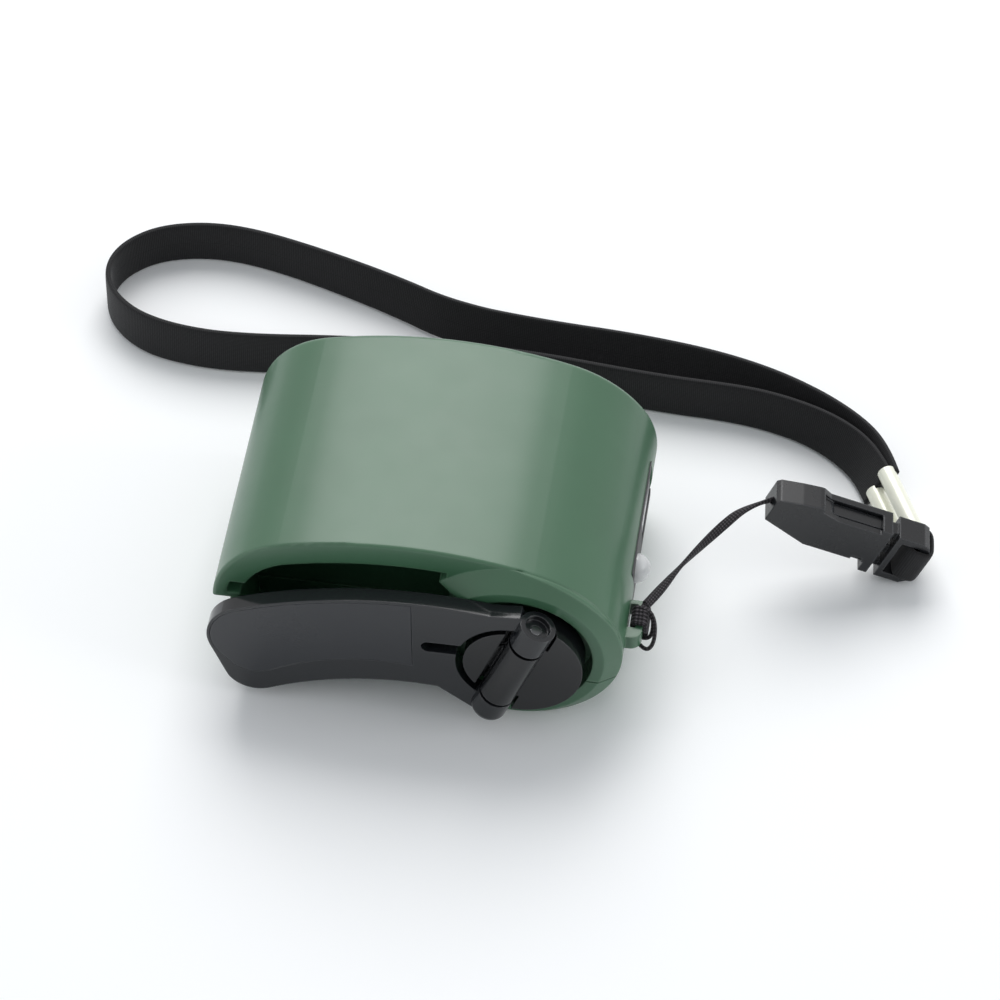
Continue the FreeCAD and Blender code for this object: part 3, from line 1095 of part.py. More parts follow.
STRAP_ROUTE = [
    (68.7, 31.3), (65.4, 35.3), (60.4, 38.8), (54.0, 41.4), (45.5, 43.2), (30.0, 43.7), (4.0, 46.6),
    (-22.0, 45.1), (-42.0, 42.5), (-53.0, 43.0), (-61.0, 45.4), (-66.6, 50.6), (-68.3, 56.8),
    (-66.0, 62.6), (-60.0, 67.2), (-50.0, 69.0), (-38.0, 66.9), (-19.0, 60.6), (-6.0, 54.8),
    (10.0, 53.0), (26.0, 52.2), (42.0, 50.0), (55.0, 45.7), (64.5, 39.6), (69.7, 33.7),
]
CRIMP_WAY = Vector(0.43, -0.9, 0).normalize()
CRIMP_UP = Vector(71.56, 28.89, 6.9)
CRIMP_LOW = Vector(69.96, 27.82, 3.0)


def strap():
    """Wrist strap on its edge, both ends side by side in the crimps."""
    end = (CRIMP_UP + CRIMP_LOW) / 2 + CRIMP_WAY * s["crimp_bite"]
    end.z = s["strap_lift"]
    side = Vector(-CRIMP_WAY.y, CRIMP_WAY.x, 0) * (s["strap_thick"] / 2 + s["fit"])
    points = [end - side] + [Vector(x, y, s["strap_lift"]) for x, y in STRAP_ROUTE] + [end + side]
    print("strap ends:", [[round(v, 3) for v in point] for point in (points[0], points[-1])])
    wire = route("wrist_strap", points)
    start = wire.Edges[0].valueAt(0)
    first = (points[1] - points[0]).normalize()
    across = Vector(-first.y, first.x, 0) * (s["strap_thick"] / 2)
    rise = Vector(0, 0, s["strap_width"])
    profile = Part.makePolygon([start - across, start + across, start + across + rise, start - across + rise,
                                start - across])
    shape = wire.makePipeShell([profile], True, False)
    print(f"   volume {shape.Volume:.1f} for {s['strap_thick'] * s['strap_width'] * wire.Length:.1f}")
    node("wrist_strap", shaped("strap_ribbon", shape))


def crimps():
    """Two metal tubes, one above the other, that clamp the strap's ends and lead them to the clip."""
    turn = Rotation(Vector(0, 0, 1), CRIMP_WAY)
    back_face = box("clip_back_space", (-20, -60 + s["buckle_thick"] / 2, -25), 80, 60, 60)
    back_face.Placement = buckle_place * back_face.Placement
    for label, start in (("lower", CRIMP_LOW), ("upper", CRIMP_UP)):
        whole = rod(f"crimp_{label}_rod", start, "dims.crimp_radius", 30, turn)
        node(f"strap_crimp_{label}", cut(f"crimp_{label}_trimmed", whole, back_face))


# ---------------------------------------------------------------------------------------------
# Side release buckle, drawn lying along X and then set down beside the case
# ---------------------------------------------------------------------------------------------
def socket_outline():
    """Side of the socket half as (along, height) corners: nose, top edge, collar, notched underside."""
    top, low, length = s["buckle_width"], s["socket_low"], s["buckle_length"]
    collar = length - s["collar_length"]
    return [(0, 5.05), (0, top - 0.9), (0.6, top - 0.3), (4.3, top + 0.4), (7.3, top + 0.8), (7.9, top + 0.8),
            (9.5, top), (length, top), (length, 0), (collar, 0), (collar, low), (18.8, low), (18.8, low + 0.8),
            (16.8, low + 0.8), (16.8, low), (8.2, low), (0.8, 4.75)]


def buckle():
    """Socket half with its cavity and openings, and the clip half with prongs, guide and strap slot."""
    width, thick, length = s["buckle_width"], s["buckle_thick"], s["buckle_length"]
    wall = s["buckle_wall"]
    block = prism("buckle_block", socket_outline(), -thick / 2, thick)
    gap = "dims.buckle_thick - 2 * dims.buckle_wall"
    ceiling = width - s["socket_wall"]
    inner_low = s["socket_low"] + s["socket_wall"]
    cavity = box("buckle_cavity", (s["buckle_nose"], -thick / 2 + wall, inner_low), "dims.buckle_length", gap,
                 ceiling - inner_low)
    mouth = box("buckle_mouth", (s["window_from"], -thick / 2 + wall, s["collar_wall"]),
                "dims.buckle_length", gap, ceiling - s["collar_wall"])
    collar = length - s["collar_length"]
    edge = width - 0.9
    window = prism("buckle_window", [(8.1, width + 1), (8.1, width), (11.3, edge), (collar - 0.2, edge),
                                     (collar - 0.2, width + 1)], -thick, 1.5 * thick - wall)
    body = cut("buckle_hollowed", block, cavity, mouth, window)
    body.Placement = buckle_place
    node("buckle_body", body)
    base_x = length + s["clip_gap"]
    end_x = base_x + s["clip_length"]
    high = width - s["clip_top"]
    base = prism("clip_base", [(base_x, 0), (base_x, high), (end_x - 1.6, high), (end_x - 0.5, high - 0.5),
                               (end_x, high - 1.6), (end_x, 2.4), (end_x - 0.5, 1.0), (end_x - 1.7, 0)],
                 -thick / 2, thick)
    slim = thick - 2 * (wall + s["prong_play"])
    start = base_x - s["prong_length"]
    low_z = s["collar_wall"] + s["prong_play"]
    high_z = ceiling - s["prong_play"] - s["prong_thick"]
    prongs = [box(f"prong_{side}", (start, -slim / 2, z), "dims.prong_length + 1", slim, "dims.prong_thick")
              for side, z in (("up", high_z), ("low", low_z))]
    spine_z = (low_z + high_z + s["prong_thick"] - s["spine_width"]) / 2
    spine = box("clip_spine", (start - 0.5, -slim / 2, spine_z), "dims.prong_length + 1.5", slim,
                "dims.spine_width")
    slot = box("clip_slot", (base_x + s["clip_bar"], -thick, s["clip_frame"]), "dims.clip_slot", 2 * thick,
               high - 2 * s["clip_frame"])
    clip = cut("clip_cut", fuse("clip_joined", base, spine, *prongs), slot)
    clip.Placement = buckle_place
    node("buckle_clip", clip)


def screws():
    """Four case screws driven up through the lower shell."""
    pieces = []
    head = s["seam_height"] - s["screw_sink"]
    for n, (x, y) in enumerate(screw_places(), start=1):
        pieces.append(rod(f"screw_head_{n}", (x, y, head - 1.4), "dims.screw_head_radius", 1.4, UPRIGHT))
        pieces.append(rod(f"screw_shank_{n}", (x, y, head - 0.1), "dims.screw_radius",
                          "dims.screw_length + 0.1", UPRIGHT))
    node("case_screws", fuse("screws", *pieces))


shells()
screws()
crank_hub()
crank_arm()
grip()
gears()
gear_plates()
crank_shaft()
dynamo()
electrics()
lanyard()
strap()
crimps()
buckle()
doc.recompute()

# ---------------------------------------------------------------------------------------------
# Stand the object over the origin, test every object and write the pieces
# ---------------------------------------------------------------------------------------------
ON_CORD = {"lanyard_loop", "lanyard_cord", "buckle_body", "buckle_clip", "strap_crimp_lower",
           "strap_crimp_upper", "wrist_strap"}
failed = [item.Name for item in doc.Objects if {"Invalid", "Error"} & set(item.State)]
if failed:
    raise SystemExit(f"objects that did not build: {failed}")

around = FreeCAD.BoundBox()
for label, item in finished.items():
    if label not in ON_CORD:
        around.add(item.Shape.optimalBoundingBox(False))
shift = Vector(-around.Center.x, -around.Center.y, -around.ZMin)
print("shift to the origin:", [round(v, 4) for v in shift])
for label, item in finished.items():
    place = item.Placement
    item.Placement = Placement(place.Base + shift, place.Rotation)

for label, item in finished.items():
    shape = item.Shape
    if shape.isNull() or not shape.isValid():
        raise SystemExit(f"{label} has no valid shape")
    shape.exportStep(f"{OUT}/{label}.step")
print(len(finished), "pieces written")
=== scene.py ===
# %% [markdown]
# # A pocket hand crank generator
# The green case holds a dynamo and its gears.  A black crank folds out of its front, and a wrist strap hangs
# on a thin lanyard and a side release buckle.  The solids come from the packed model.  This notebook gives
# them their finishes and makes the soft pieces, whose free bends a solid model only roughs out: the cord
# wound round the lug, the lanyard's braid, the woven strap and the webbing round the buckle clip's bar.

# %% Load the frame
import json
import math

import bpy
import numpy as np
from mathutils import Matrix


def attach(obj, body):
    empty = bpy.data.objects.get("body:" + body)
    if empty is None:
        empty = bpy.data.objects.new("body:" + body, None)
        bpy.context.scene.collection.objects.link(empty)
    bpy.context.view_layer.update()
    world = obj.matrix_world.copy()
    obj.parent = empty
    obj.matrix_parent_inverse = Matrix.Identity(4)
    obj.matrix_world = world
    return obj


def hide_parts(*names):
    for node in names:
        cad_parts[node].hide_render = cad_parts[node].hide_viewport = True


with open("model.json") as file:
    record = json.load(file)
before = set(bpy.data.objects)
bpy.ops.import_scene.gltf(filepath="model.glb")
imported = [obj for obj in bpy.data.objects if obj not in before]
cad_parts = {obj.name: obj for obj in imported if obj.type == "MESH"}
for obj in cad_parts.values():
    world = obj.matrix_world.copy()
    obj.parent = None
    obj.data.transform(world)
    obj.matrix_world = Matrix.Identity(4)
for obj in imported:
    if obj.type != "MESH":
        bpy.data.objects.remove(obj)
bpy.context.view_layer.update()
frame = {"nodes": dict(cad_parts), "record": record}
nodes = frame["nodes"]
MM = 0.001
MICRON = 0.000001
# Places below are given from the middle of the case, which stands here in the packed model, in millimetres.
CASE_AT = np.array([-0.85, 4.2187, 0.0])

# %% [markdown]
# The camera looks down on the case from the front and a little from the right.  A constraint could aim it at
# an empty object; three directions in one matrix say the same without a second object.  A long lens keeps the
# case's depth lines nearly parallel, as they look from some way off.

# %% Camera
CAMERA_AIM = np.array([13.2, -23.35, 49.5]) + CASE_AT
CAMERA_DISTANCE = 703.0
CAMERA_AZIMUTH, CAMERA_ELEVATION = 8.3, 49.0
FOCAL_LENGTH, SENSOR_WIDTH = 162.6, 36.0
CLIP_NEAR, CLIP_FAR = 0.01, 20.0


def place_camera(target, distance, azimuth, elevation):
    """A camera on the ray that leaves the target at the angles; azimuth 0 stands in front of the case."""
    a, e = math.radians(azimuth), math.radians(elevation)
    back = np.array([math.sin(a) * math.cos(e), -math.cos(a) * math.cos(e), math.sin(e)])
    side = np.array([math.cos(a), math.sin(a), 0.0])
    turn = np.eye(4)
    turn[:3, :3] = np.stack([side, np.cross(back, side), back], axis=1)
    turn[:3, 3] = (target + back * distance) * MM
    data = bpy.data.cameras.new("viewer")
    data.lens, data.sensor_width = FOCAL_LENGTH, SENSOR_WIDTH
    data.clip_start, data.clip_end = CLIP_NEAR, CLIP_FAR
    camera = bpy.data.objects.new("viewer", data)
    camera.matrix_world = Matrix(turn.tolist())
    bpy.context.scene.collection.objects.link(camera)
    bpy.context.scene.camera = camera
    return camera


viewer = place_camera(CAMERA_AIM, CAMERA_DISTANCE, CAMERA_AZIMUTH, CAMERA_ELEVATION)
print("camera stands at", [round(v, 3) for v in viewer.matrix_world.translation])

# %% [markdown]
# A finish is a small node graph.  It could be built by hand in the shader editor, but a small class with a
# method for each kind of node keeps twenty finishes alike and short.  Patterns come from noise that reads
# object coordinates: it needs no image, and it stays on the part from every side.

# %% A finish and its nodes
class Finish:
    """A material under construction: add nodes, link them, and end in one Principled shader."""

    def __init__(self, name):
        self.material = bpy.data.materials.new(name)
        self.material.use_nodes = True
        self.tree = self.material.node_tree
        self.tree.nodes.clear()
        self.shader = self.add("ShaderNodeBsdfPrincipled")
        out = self.add("ShaderNodeOutputMaterial")
        self.link(self.shader.outputs[0], out.inputs["Surface"])
        self.place = self.add("ShaderNodeTexCoord").outputs["Object"]

    def add(self, kind, **settings):
        """A new node; a setting is one of the node's properties or else the input socket of that name."""
        node = self.tree.nodes.new(kind)
        for key, value in settings.items():
            if hasattr(node, key):
                setattr(node, key, value)
            else:
                node.inputs[key.replace("_", " ")].default_value = value
        return node

    def link(self, source, target):
        self.tree.links.new(source, target)

    def plain(self, **values):
        """The same value all over, straight on the shader's own sockets."""
        for key, value in values.items():
            self.shader.inputs[key.replace("_", " ")].default_value = value

    def noise(self, features, detail):
        """Noise between 0 and 1, with so many features per metre; the mapping stretches the place to fit."""
        mapping = self.add("ShaderNodeMapping", Scale=(features, features, features))
        self.link(self.place, mapping.inputs["Vector"])
        texture = self.add("ShaderNodeTexNoise", Scale=1.0, Detail=detail)
        self.link(mapping.outputs[0], texture.inputs["Vector"])
        return texture.outputs["Fac"]

    def ramp(self, value, low, high, start=0.0, end=1.0):
        """Maps a value from start..end to low..high."""
        node = self.add("ShaderNodeMapRange", From_Min=start, From_Max=end, To_Min=low, To_Max=high)
        self.link(value, node.inputs["Value"])
        return node.outputs["Result"]

    def blend(self, share, first, second):
        """Two colours mixed by a share between 0 and 1; each is a tuple or a socket."""
        node = self.add("ShaderNodeMix", data_type="RGBA")
        self.link(share, node.inputs["Factor"])
        for socket, value in ((node.inputs[6], first), (node.inputs[7], second)):
            if isinstance(value, tuple):
                socket.default_value = (*value, 1.0)
            else:
                self.link(value, socket)
        return node.outputs[2]

    def compute(self, kind, first, second):
        """One sum or product of two values; each is a number or a socket."""
        node = self.add("ShaderNodeMath", operation=kind)
        for socket, value in zip(node.inputs, (first, second)):
            if isinstance(value, (int, float)):
                socket.default_value = value
            else:
                self.link(value, socket)
        return node.outputs[0]


print("a finish has", len([name for name in vars(Finish) if not name.startswith("_")]), "helpers")

# %% [markdown]
# Edges and grain are small changes of the surface's direction.  A real bevel on every edge would multiply the
# faces of all the solids.  The Bevel node rounds only the direction, and where the rounded one leaves the true
# one there is an edge.  Grain is a noise read as height, so thin that it needs no geometry.

# %% Edges and grain
BEVEL_SAMPLES = 4
EDGE_MATCH, FLAT_MATCH = 0.80, 0.995


# The edge mask places the lighter edge colour, which is partly wear and partly a painted highlight.
def wear_and_highlight_edges(f, radius):
    """1 on edges and 0 on flats, read from the dot product of the true and the rounded direction.

    The radius, in millimetres, is how far from an edge the rounding reaches.  Also gives the rounded direction.
    """
    rounded = f.add("ShaderNodeBevel", samples=BEVEL_SAMPLES, Radius=radius * MM).outputs[0]
    true = f.add("ShaderNodeNewGeometry").outputs["Normal"]
    dot = f.add("ShaderNodeVectorMath", operation="DOT_PRODUCT")
    f.link(rounded, dot.inputs[0])
    f.link(true, dot.inputs[1])
    return f.ramp(dot.outputs["Value"], 1.0, 0.0, EDGE_MATCH, FLAT_MATCH), rounded


def bump(f, height, depth, normal=None):
    """Tilts the surface as a height between 0 and 1 times a depth in microns would."""
    node = f.add("ShaderNodeBump", Strength=1.0, Distance=depth * MICRON)
    f.link(height, node.inputs["Height"])
    if normal is not None:
        f.link(normal, node.inputs["Normal"])
    f.link(node.outputs[0], f.shader.inputs["Normal"])


print("an edge fades out by a match of", FLAT_MATCH)

# %% [markdown]
# Moulded, lacquered and machined parts are never one flat colour: the tone wanders a little, the gloss is
# uneven and the surface has a fine grain.  Edges get a lighter colour, partly as slight wear and partly as a
# painted highlight where a rounded edge catches light.  Each of these could be painted on as an image, but
# one graph that mixes them from noise serves every hard part, and only its values differ.

# %% A moulded finish
TONE_PATCHES, TONE_BAND = 60.0, (0.35, 0.65)
SMUDGES, SMUDGE_BAND = 180.0, (0.3, 0.7)
DARKER = 0.92
EDGE_SHARE = 0.5
ROUGH_LOW, ROUGH_HIGH = 0.96, 1.05
COAT_ROUGHNESS = 0.2


def srgb(*values):
    """Screen colour (0 to 255) to linear: v/12.92 for the darkest, else ((v + 0.055)/1.055) ** 2.4."""
    return tuple((v / 255 / 12.92) if v <= 10 else ((v / 255 + 0.055) / 1.055) ** 2.4 for v in values)


def moulded(name, colour, wear_and_highlight, rough, grain, depth, metallic=0.0, coat=0.0, radius=0.4):
    """Base: a darker tone and the colour in patches, then half the edge colour (partly wear, partly a painted
    highlight) on edges of the radius in mm.

    Roughness: the given one times 0.96 to 1.05.  Relief: grain in features per metre, depth in microns.
    """
    f = Finish(name)
    edge, rounded = wear_and_highlight_edges(f, radius)
    tone = f.ramp(f.noise(TONE_PATCHES, 4.0), 0.0, 1.0, *TONE_BAND)
    base = f.blend(tone, tuple(c * DARKER for c in colour), colour)
    # Edges are mixed towards the lighter colour: partly wear, partly a painted highlight.
    f.link(f.blend(f.compute("MULTIPLY", edge, EDGE_SHARE), base, wear_and_highlight), f.shader.inputs["Base Color"])
    gloss = f.ramp(f.noise(SMUDGES, 5.0), rough * ROUGH_LOW, rough * ROUGH_HIGH, *SMUDGE_BAND)
    f.link(gloss, f.shader.inputs["Roughness"])
    f.plain(Metallic=metallic, Coat_Weight=coat, Coat_Roughness=COAT_ROUGHNESS)
    bump(f, f.noise(grain, 2.0), depth, rounded)
    return f.material


print("moulded finish ready")

# %% [markdown]
# The case is a satin lacquer over plastic.  The crank is smooth black plastic, polished enough to have no
# grain, and the grip, the buckle and the end panel are black plastics of different gloss.  Shafts, pins,
# screws and gear plates are steel, the front bush and the dynamo's pinion brass.  The strap's crimps have a
# pale plating, whose near-white colour is partly a painted highlight.  The arm's cover, the hub and the
# hinge pin share a slot with other parts but look a little different, so they get their own.

# %% Finishes of the hard parts
# A grey for the edges of black parts: partly wear, partly a painted highlight.
BLACK_WEAR_AND_HIGHLIGHT = srgb(96, 98, 102)
finishes = {
    "case_green": moulded("green_lacquer", srgb(52, 94, 66), srgb(104, 144, 114), 0.5, 5200.0, 3.0,
                          coat=0.45, radius=0.6),
    "crank_black": moulded("crank_plastic", srgb(30, 32, 35), BLACK_WEAR_AND_HIGHLIGHT, 0.1, 4200.0, 0.0, radius=0.3),
    "grip_black": moulded("grip_plastic", srgb(26, 27, 29), BLACK_WEAR_AND_HIGHLIGHT, 0.45, 2600.0, 40.0),
    "steel": moulded("turned_steel", srgb(190, 192, 194), srgb(225, 226, 228), 0.28, 6000.0, 6.0,
                     metallic=1.0),
    "gear_plastic": moulded("gear_plastic", srgb(232, 229, 216), srgb(245, 243, 235), 0.4, 3000.0, 10.0),
    "brass_parts": moulded("turned_brass", srgb(205, 170, 95), srgb(230, 200, 130), 0.3, 6000.0, 6.0,
                           metallic=1.0),
    "dynamo_steel": moulded("plated_steel", srgb(170, 172, 176), srgb(215, 216, 218), 0.35, 3500.0, 10.0,
                            metallic=1.0),
    "copper_winding": moulded("copper_winding", srgb(176, 92, 48), srgb(214, 140, 90), 0.3, 9000.0, 60.0,
                              metallic=0.9),
    "inner_black": moulded("component_plastic", srgb(40, 41, 43), BLACK_WEAR_AND_HIGHLIGHT, 0.45, 3000.0, 20.0),
    "board": moulded("board_laminate", srgb(26, 92, 56), srgb(120, 150, 110), 0.35, 7000.0, 6.0),
    "panel_black": moulded("panel_plastic", srgb(16, 17, 19), BLACK_WEAR_AND_HIGHLIGHT, 0.5, 4200.0, 20.0),
    "socket_white": moulded("socket_plastic", srgb(228, 228, 222), srgb(240, 240, 236), 0.4, 3000.0, 10.0),
    "buckle_black": moulded("buckle_plastic", srgb(22, 23, 26), BLACK_WEAR_AND_HIGHLIGHT, 0.27, 3600.0, 3.0),
    # The crimps' near-white colour is pale plating and partly a painted highlight.
    "crimp_silver": moulded("crimp_plating", srgb(246, 246, 230), srgb(252, 252, 242), 0.3, 2400.0, 10.0,
                            metallic=0.15),
}
own_finishes = {
    "crank_hub": moulded("hub_plastic", srgb(16, 17, 19), BLACK_WEAR_AND_HIGHLIGHT, 0.18, 4200.0, 2.0, radius=0.2),
    "arm_cover": moulded("cover_plastic", srgb(38, 40, 44), BLACK_WEAR_AND_HIGHLIGHT, 0.16, 4200.0, 1.0, radius=0.2),
    # The pin's near-white edge colour paints a highlight round its darkened end.
    "hinge_pin": moulded("dark_pin_steel", srgb(110, 111, 114), srgb(240, 240, 242), 0.18, 4200.0, 2.0,
                         metallic=1.0, radius=0.2),
}
print(len(finishes) + len(own_finishes), "finishes for the hard parts")

# %% [markdown]
# The lamp is a moulded lens of milky clear plastic.  Fully clear, it would only show the dark hole behind it,
# so about a third of the light goes through and the pale body scatters the rest.  A faint frost breaks its
# mirror gloss.

# %% The lamp's lens
LENS_COLOUR = (0.93, 0.94, 0.94, 1.0)
LIGHT_THROUGH, ACRYLIC_INDEX = 0.35, 1.49
FROST_LOW, FROST_HIGH = 0.04, 0.1


def lens(name):
    """A pale body that lets part of the light through; noise gives it uneven frost and a slight ripple."""
    f = Finish(name)
    f.plain(Base_Color=LENS_COLOUR, Transmission_Weight=LIGHT_THROUGH, IOR=ACRYLIC_INDEX)
    f.link(f.ramp(f.noise(500.0, 3.0), FROST_LOW, FROST_HIGH), f.shader.inputs["Roughness"])
    bump(f, f.noise(900.0, 2.0), 10.0)
    return f.material


finishes["lamp_clear"] = lens("lamp_lens")
print("lens finish ready")

# %% [markdown]
# The strap is woven and the lanyard braided, from threads that cross.  Threads as geometry would take far
# more faces than so fine a detail is worth.  Two sets of bands, multiplied, give the small raised squares of
# a weave, and noise over them gives the fuzz.  They read the piece's own map, so that the weave follows every
# bend.

# %% Cloth finishes
THREAD_WOBBLE = 0.6
FUZZ_HEIGHT = 0.3


def woven(name, colour, light, across, along, depth):
    """Bands across times bands along, on a map in millimetres: u goes round the section, v along it."""
    f = Finish(name)
    ribbon_map = f.add("ShaderNodeUVMap", uv_map="ribbon").outputs["UV"]
    bands = []
    for direction, scale in (("X", across), ("Y", along)):
        wave = f.add("ShaderNodeTexWave", wave_type="BANDS", bands_direction=direction, Scale=scale,
                     Distortion=THREAD_WOBBLE, Detail=1.0)
        f.link(ribbon_map, wave.inputs["Vector"])
        bands.append(wave.outputs["Fac"])
    weave = f.compute("MULTIPLY", *bands)
    fuzz = f.noise(2500.0, 3.0)
    f.link(f.blend(f.compute("MULTIPLY", weave, fuzz), colour, light), f.shader.inputs["Base Color"])
    f.link(f.ramp(weave, 0.85, 0.65), f.shader.inputs["Roughness"])
    f.plain(Specular_IOR_Level=0.3, Sheen_Weight=0.1, Sheen_Roughness=0.5)
    bump(f, f.compute("ADD", weave, f.compute("MULTIPLY", fuzz, FUZZ_HEIGHT)), depth)
    return f.material


finishes["strap_black"] = woven("strap_webbing", srgb(14, 14, 16), srgb(44, 44, 47), 1.1, 0.9, 30.0)
finishes["cord_black"] = woven("lanyard_braid", srgb(12, 11, 14), srgb(104, 97, 104), 0.8, 0.55, 60.0)
print(len(finishes), "slots have a finish")

# %% [markdown]
# Every solid takes the finish of its material slot in the record.  A material can hang on the mesh or on the
# object; here it hangs on the object, so the mesh that came with the frame stays as it is.

# %% Dress the solids
slot_of = {part["node"]: part["material_slot"] for part in frame["record"]["subparts"]}
for name, solid in nodes.items():
    for slot in solid.material_slots:
        slot.link = "OBJECT"
        slot.material = own_finishes.get(name, finishes[slot_of[name]])
print("dressed", len(nodes), "solids")

# %% [markdown]
# Soft pieces follow a line.  Straight steps would show corners, and a Bezier curve wants two handles at every
# point.  A NURBS spline passes smoothly near a few control points and so bends as gently as real cord does.
# Blender works out its points when a curve without thickness becomes a mesh.

# %% Read a smooth line from control points
def smooth_line(points, steps):
    """Points along a quadratic NURBS spline that starts at the first control point and ends at the last."""
    data = bpy.data.curves.new("line", "CURVE")
    data.dimensions = "3D"
    spline = data.splines.new("NURBS")
    spline.points.add(len(points) - 1)
    spline.points.foreach_set("co", np.c_[points, np.ones(len(points))].ravel())
    spline.order_u = 3
    spline.use_endpoint_u = True
    spline.resolution_u = steps
    holder = bpy.data.objects.new("line", data)
    mesh = bpy.data.meshes.new_from_object(holder)
    line = np.empty(len(mesh.vertices) * 3)
    mesh.vertices.foreach_get("co", line)
    bpy.data.meshes.remove(mesh)
    bpy.data.objects.remove(holder)
    bpy.data.curves.remove(data)
    return line.reshape(-1, 3)


def to_metres(points):
    """Millimetres from the middle of the case to metres in the packed model."""
    return (np.array(points, float) + CASE_AT) * MM


def step_lengths(line, closed=False):
    """The distance from each point of a line to the next, and back to the first where the line is closed."""
    return np.linalg.norm(np.diff(np.r_[line, line[:1]] if closed else line, axis=0), axis=1)


def line_length(line):
    """The sum of the distances from point to point."""
    return float(step_lengths(line).sum())


print("line tools ready")

# %% [markdown]
# A ribbon is a closed profile carried along a line.  A curve with a bevel object could do it for plain cord.
# Here the section leans and twists at chosen places, so its grid of points is worked out as one array: at
# each point of the line the profile stands in the plane across it, with one axis towards an up direction.

# %% Carry a profile along a line
def carried(line, profile, twist=0.0, up=(0.0, 0.0, 1.0), closed=False):
    """Grid of points: line point + cos/sin of the twist times the profile's sideways and upright parts."""
    if closed:
        way = np.roll(line, -1, axis=0) - np.roll(line, 1, axis=0)
    else:
        way = np.gradient(line, axis=0)
    way /= np.linalg.norm(way, axis=1, keepdims=True)
    side = np.cross(way, up)
    side /= np.linalg.norm(side, axis=1, keepdims=True)
    rise = np.cross(side, way)
    turn = np.broadcast_to(twist, len(line))[:, None, None]
    across = profile[None, :, :1] * np.cos(turn) - profile[None, :, 1:] * np.sin(turn)
    upright = profile[None, :, :1] * np.sin(turn) + profile[None, :, 1:] * np.cos(turn)
    return line[:, None] + across * side[:, None] + upright * rise[:, None]


def rounded_bar(wide, tall, count, power):
    """A superellipse: half width times signed |cos|^(2/power), half height times signed |sin|^(2/power)."""
    t = np.linspace(0, 2 * np.pi, count, endpoint=False)
    c, s = np.cos(t), np.sin(t)
    return np.c_[wide / 2 * np.sign(c) * abs(c) ** (2 / power), tall / 2 * np.sign(s) * abs(s) ** (2 / power)]


print("a 2 by 1 section reaches", rounded_bar(2.0, 1.0, 12, 2.0).max(axis=0).round(2), "from its middle")

# %% [markdown]
# Four neighbours of the grid make a face.  Each face's corners also get a place on a map, in millimetres
# round the section and along the line.  Unwrapping in the editor would give a map too, but not one with the
# weave's own measures.  A line that returns to its start makes a ring; any other gets a face at each end.

# %% Faces and map of a ribbon
def ribbon(line, profile, twist=0.0, up=(0.0, 0.0, 1.0), closed=False):
    """Vertices, quads round the grid (and a face at each open end), and their map pairs in millimetres."""
    grid = carried(line, profile, twist, up, closed)
    rows, columns = grid.shape[:2]
    r, c = np.meshgrid(np.arange(rows if closed else rows - 1), np.arange(columns), indexing="ij")
    next_r, next_c = (r + 1) % rows, (c + 1) % columns
    here, below = r * columns, next_r * columns
    quads = np.stack([here + c, here + next_c, below + next_c, below + c], -1)
    around = np.r_[0, step_lengths(profile, True).cumsum()] / MM
    along = np.r_[0, step_lengths(line, closed).cumsum()] / MM
    corners = [(around[c], along[r]), (around[c + 1], along[r]), (around[c + 1], along[r + 1]),
               (around[c], along[r + 1])]
    uv = np.stack([np.stack(pair, -1) for pair in corners], 2).reshape(-1, 2)
    faces = [quads.reshape(-1, 4)]
    if not closed:
        first = np.arange(columns)
        faces.append(np.stack([first[::-1], first + (rows - 1) * columns]))
        uv = np.r_[uv, np.zeros((2 * columns, 2))]
    return grid.reshape(-1, 3), faces, uv


def piece(name, parts, body, slot):
    """One mesh object that rides on a body, from parts of (vertices, faces, map pairs per face corner)."""
    mesh = bpy.data.meshes.new(name)
    faces, start = [], 0
    for vertices, groups, _ in parts:
        for group in groups:
            faces += (group + start).tolist()
        start += len(vertices)
    mesh.from_pydata(np.concatenate([vertices for vertices, _, _ in parts]), [], faces)
    mesh.polygons.foreach_set("use_smooth", np.ones(len(mesh.polygons), bool))
    ribbon_map = mesh.uv_layers.new(name="ribbon")
    ribbon_map.data.foreach_set("uv", np.concatenate([uv for _, _, uv in parts]).ravel())
    mesh.update()
    made = bpy.data.objects.new(name, mesh)
    bpy.context.scene.collection.objects.link(made)
    made.data.materials.append(finishes[slot])
    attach(made, body)
    return made


print("ribbon tools ready")

# %% [markdown]
# The lanyard's end is wound round the lug's bar a few times and leaves two small loops at its side.  A torus
# for each turn would close on itself; one helix climbs along the bar as wound cord does.  The loops are short
# smooth lines through a few points, since no formula describes how they happen to hang.

# %% Cord round the lug
CORD = 0.9 * MM
LOOSE_SHARE = 0.75
BAR_X, BAR_Z = 35.08, 14.5
WOUND_HALF_X, WOUND_HALF_Z = 1.08, 1.9
WOUND_FROM, WOUND_TO = -17.8, -13.85
TURNS, POINTS_PER_TURN = 5.25, 36
LOOP_UP = (0.0, 0.64, -0.76)


def squared(wave):
    """A cosine or sine turned towards a square wave: its sign times its size to the power 0.4."""
    return np.sign(wave) * abs(wave) ** 0.4


def winding():
    """Helix about Y: x and z run round a superellipse of power 5 while y rises evenly from start to end."""
    t = np.linspace(0, 2 * np.pi * TURNS, int(POINTS_PER_TURN * TURNS) + 1)
    x = BAR_X + WOUND_HALF_X * squared(np.cos(t))
    z = BAR_Z + WOUND_HALF_Z * squared(np.sin(t))
    return np.c_[x, np.linspace(WOUND_FROM, WOUND_TO, len(t)), z]


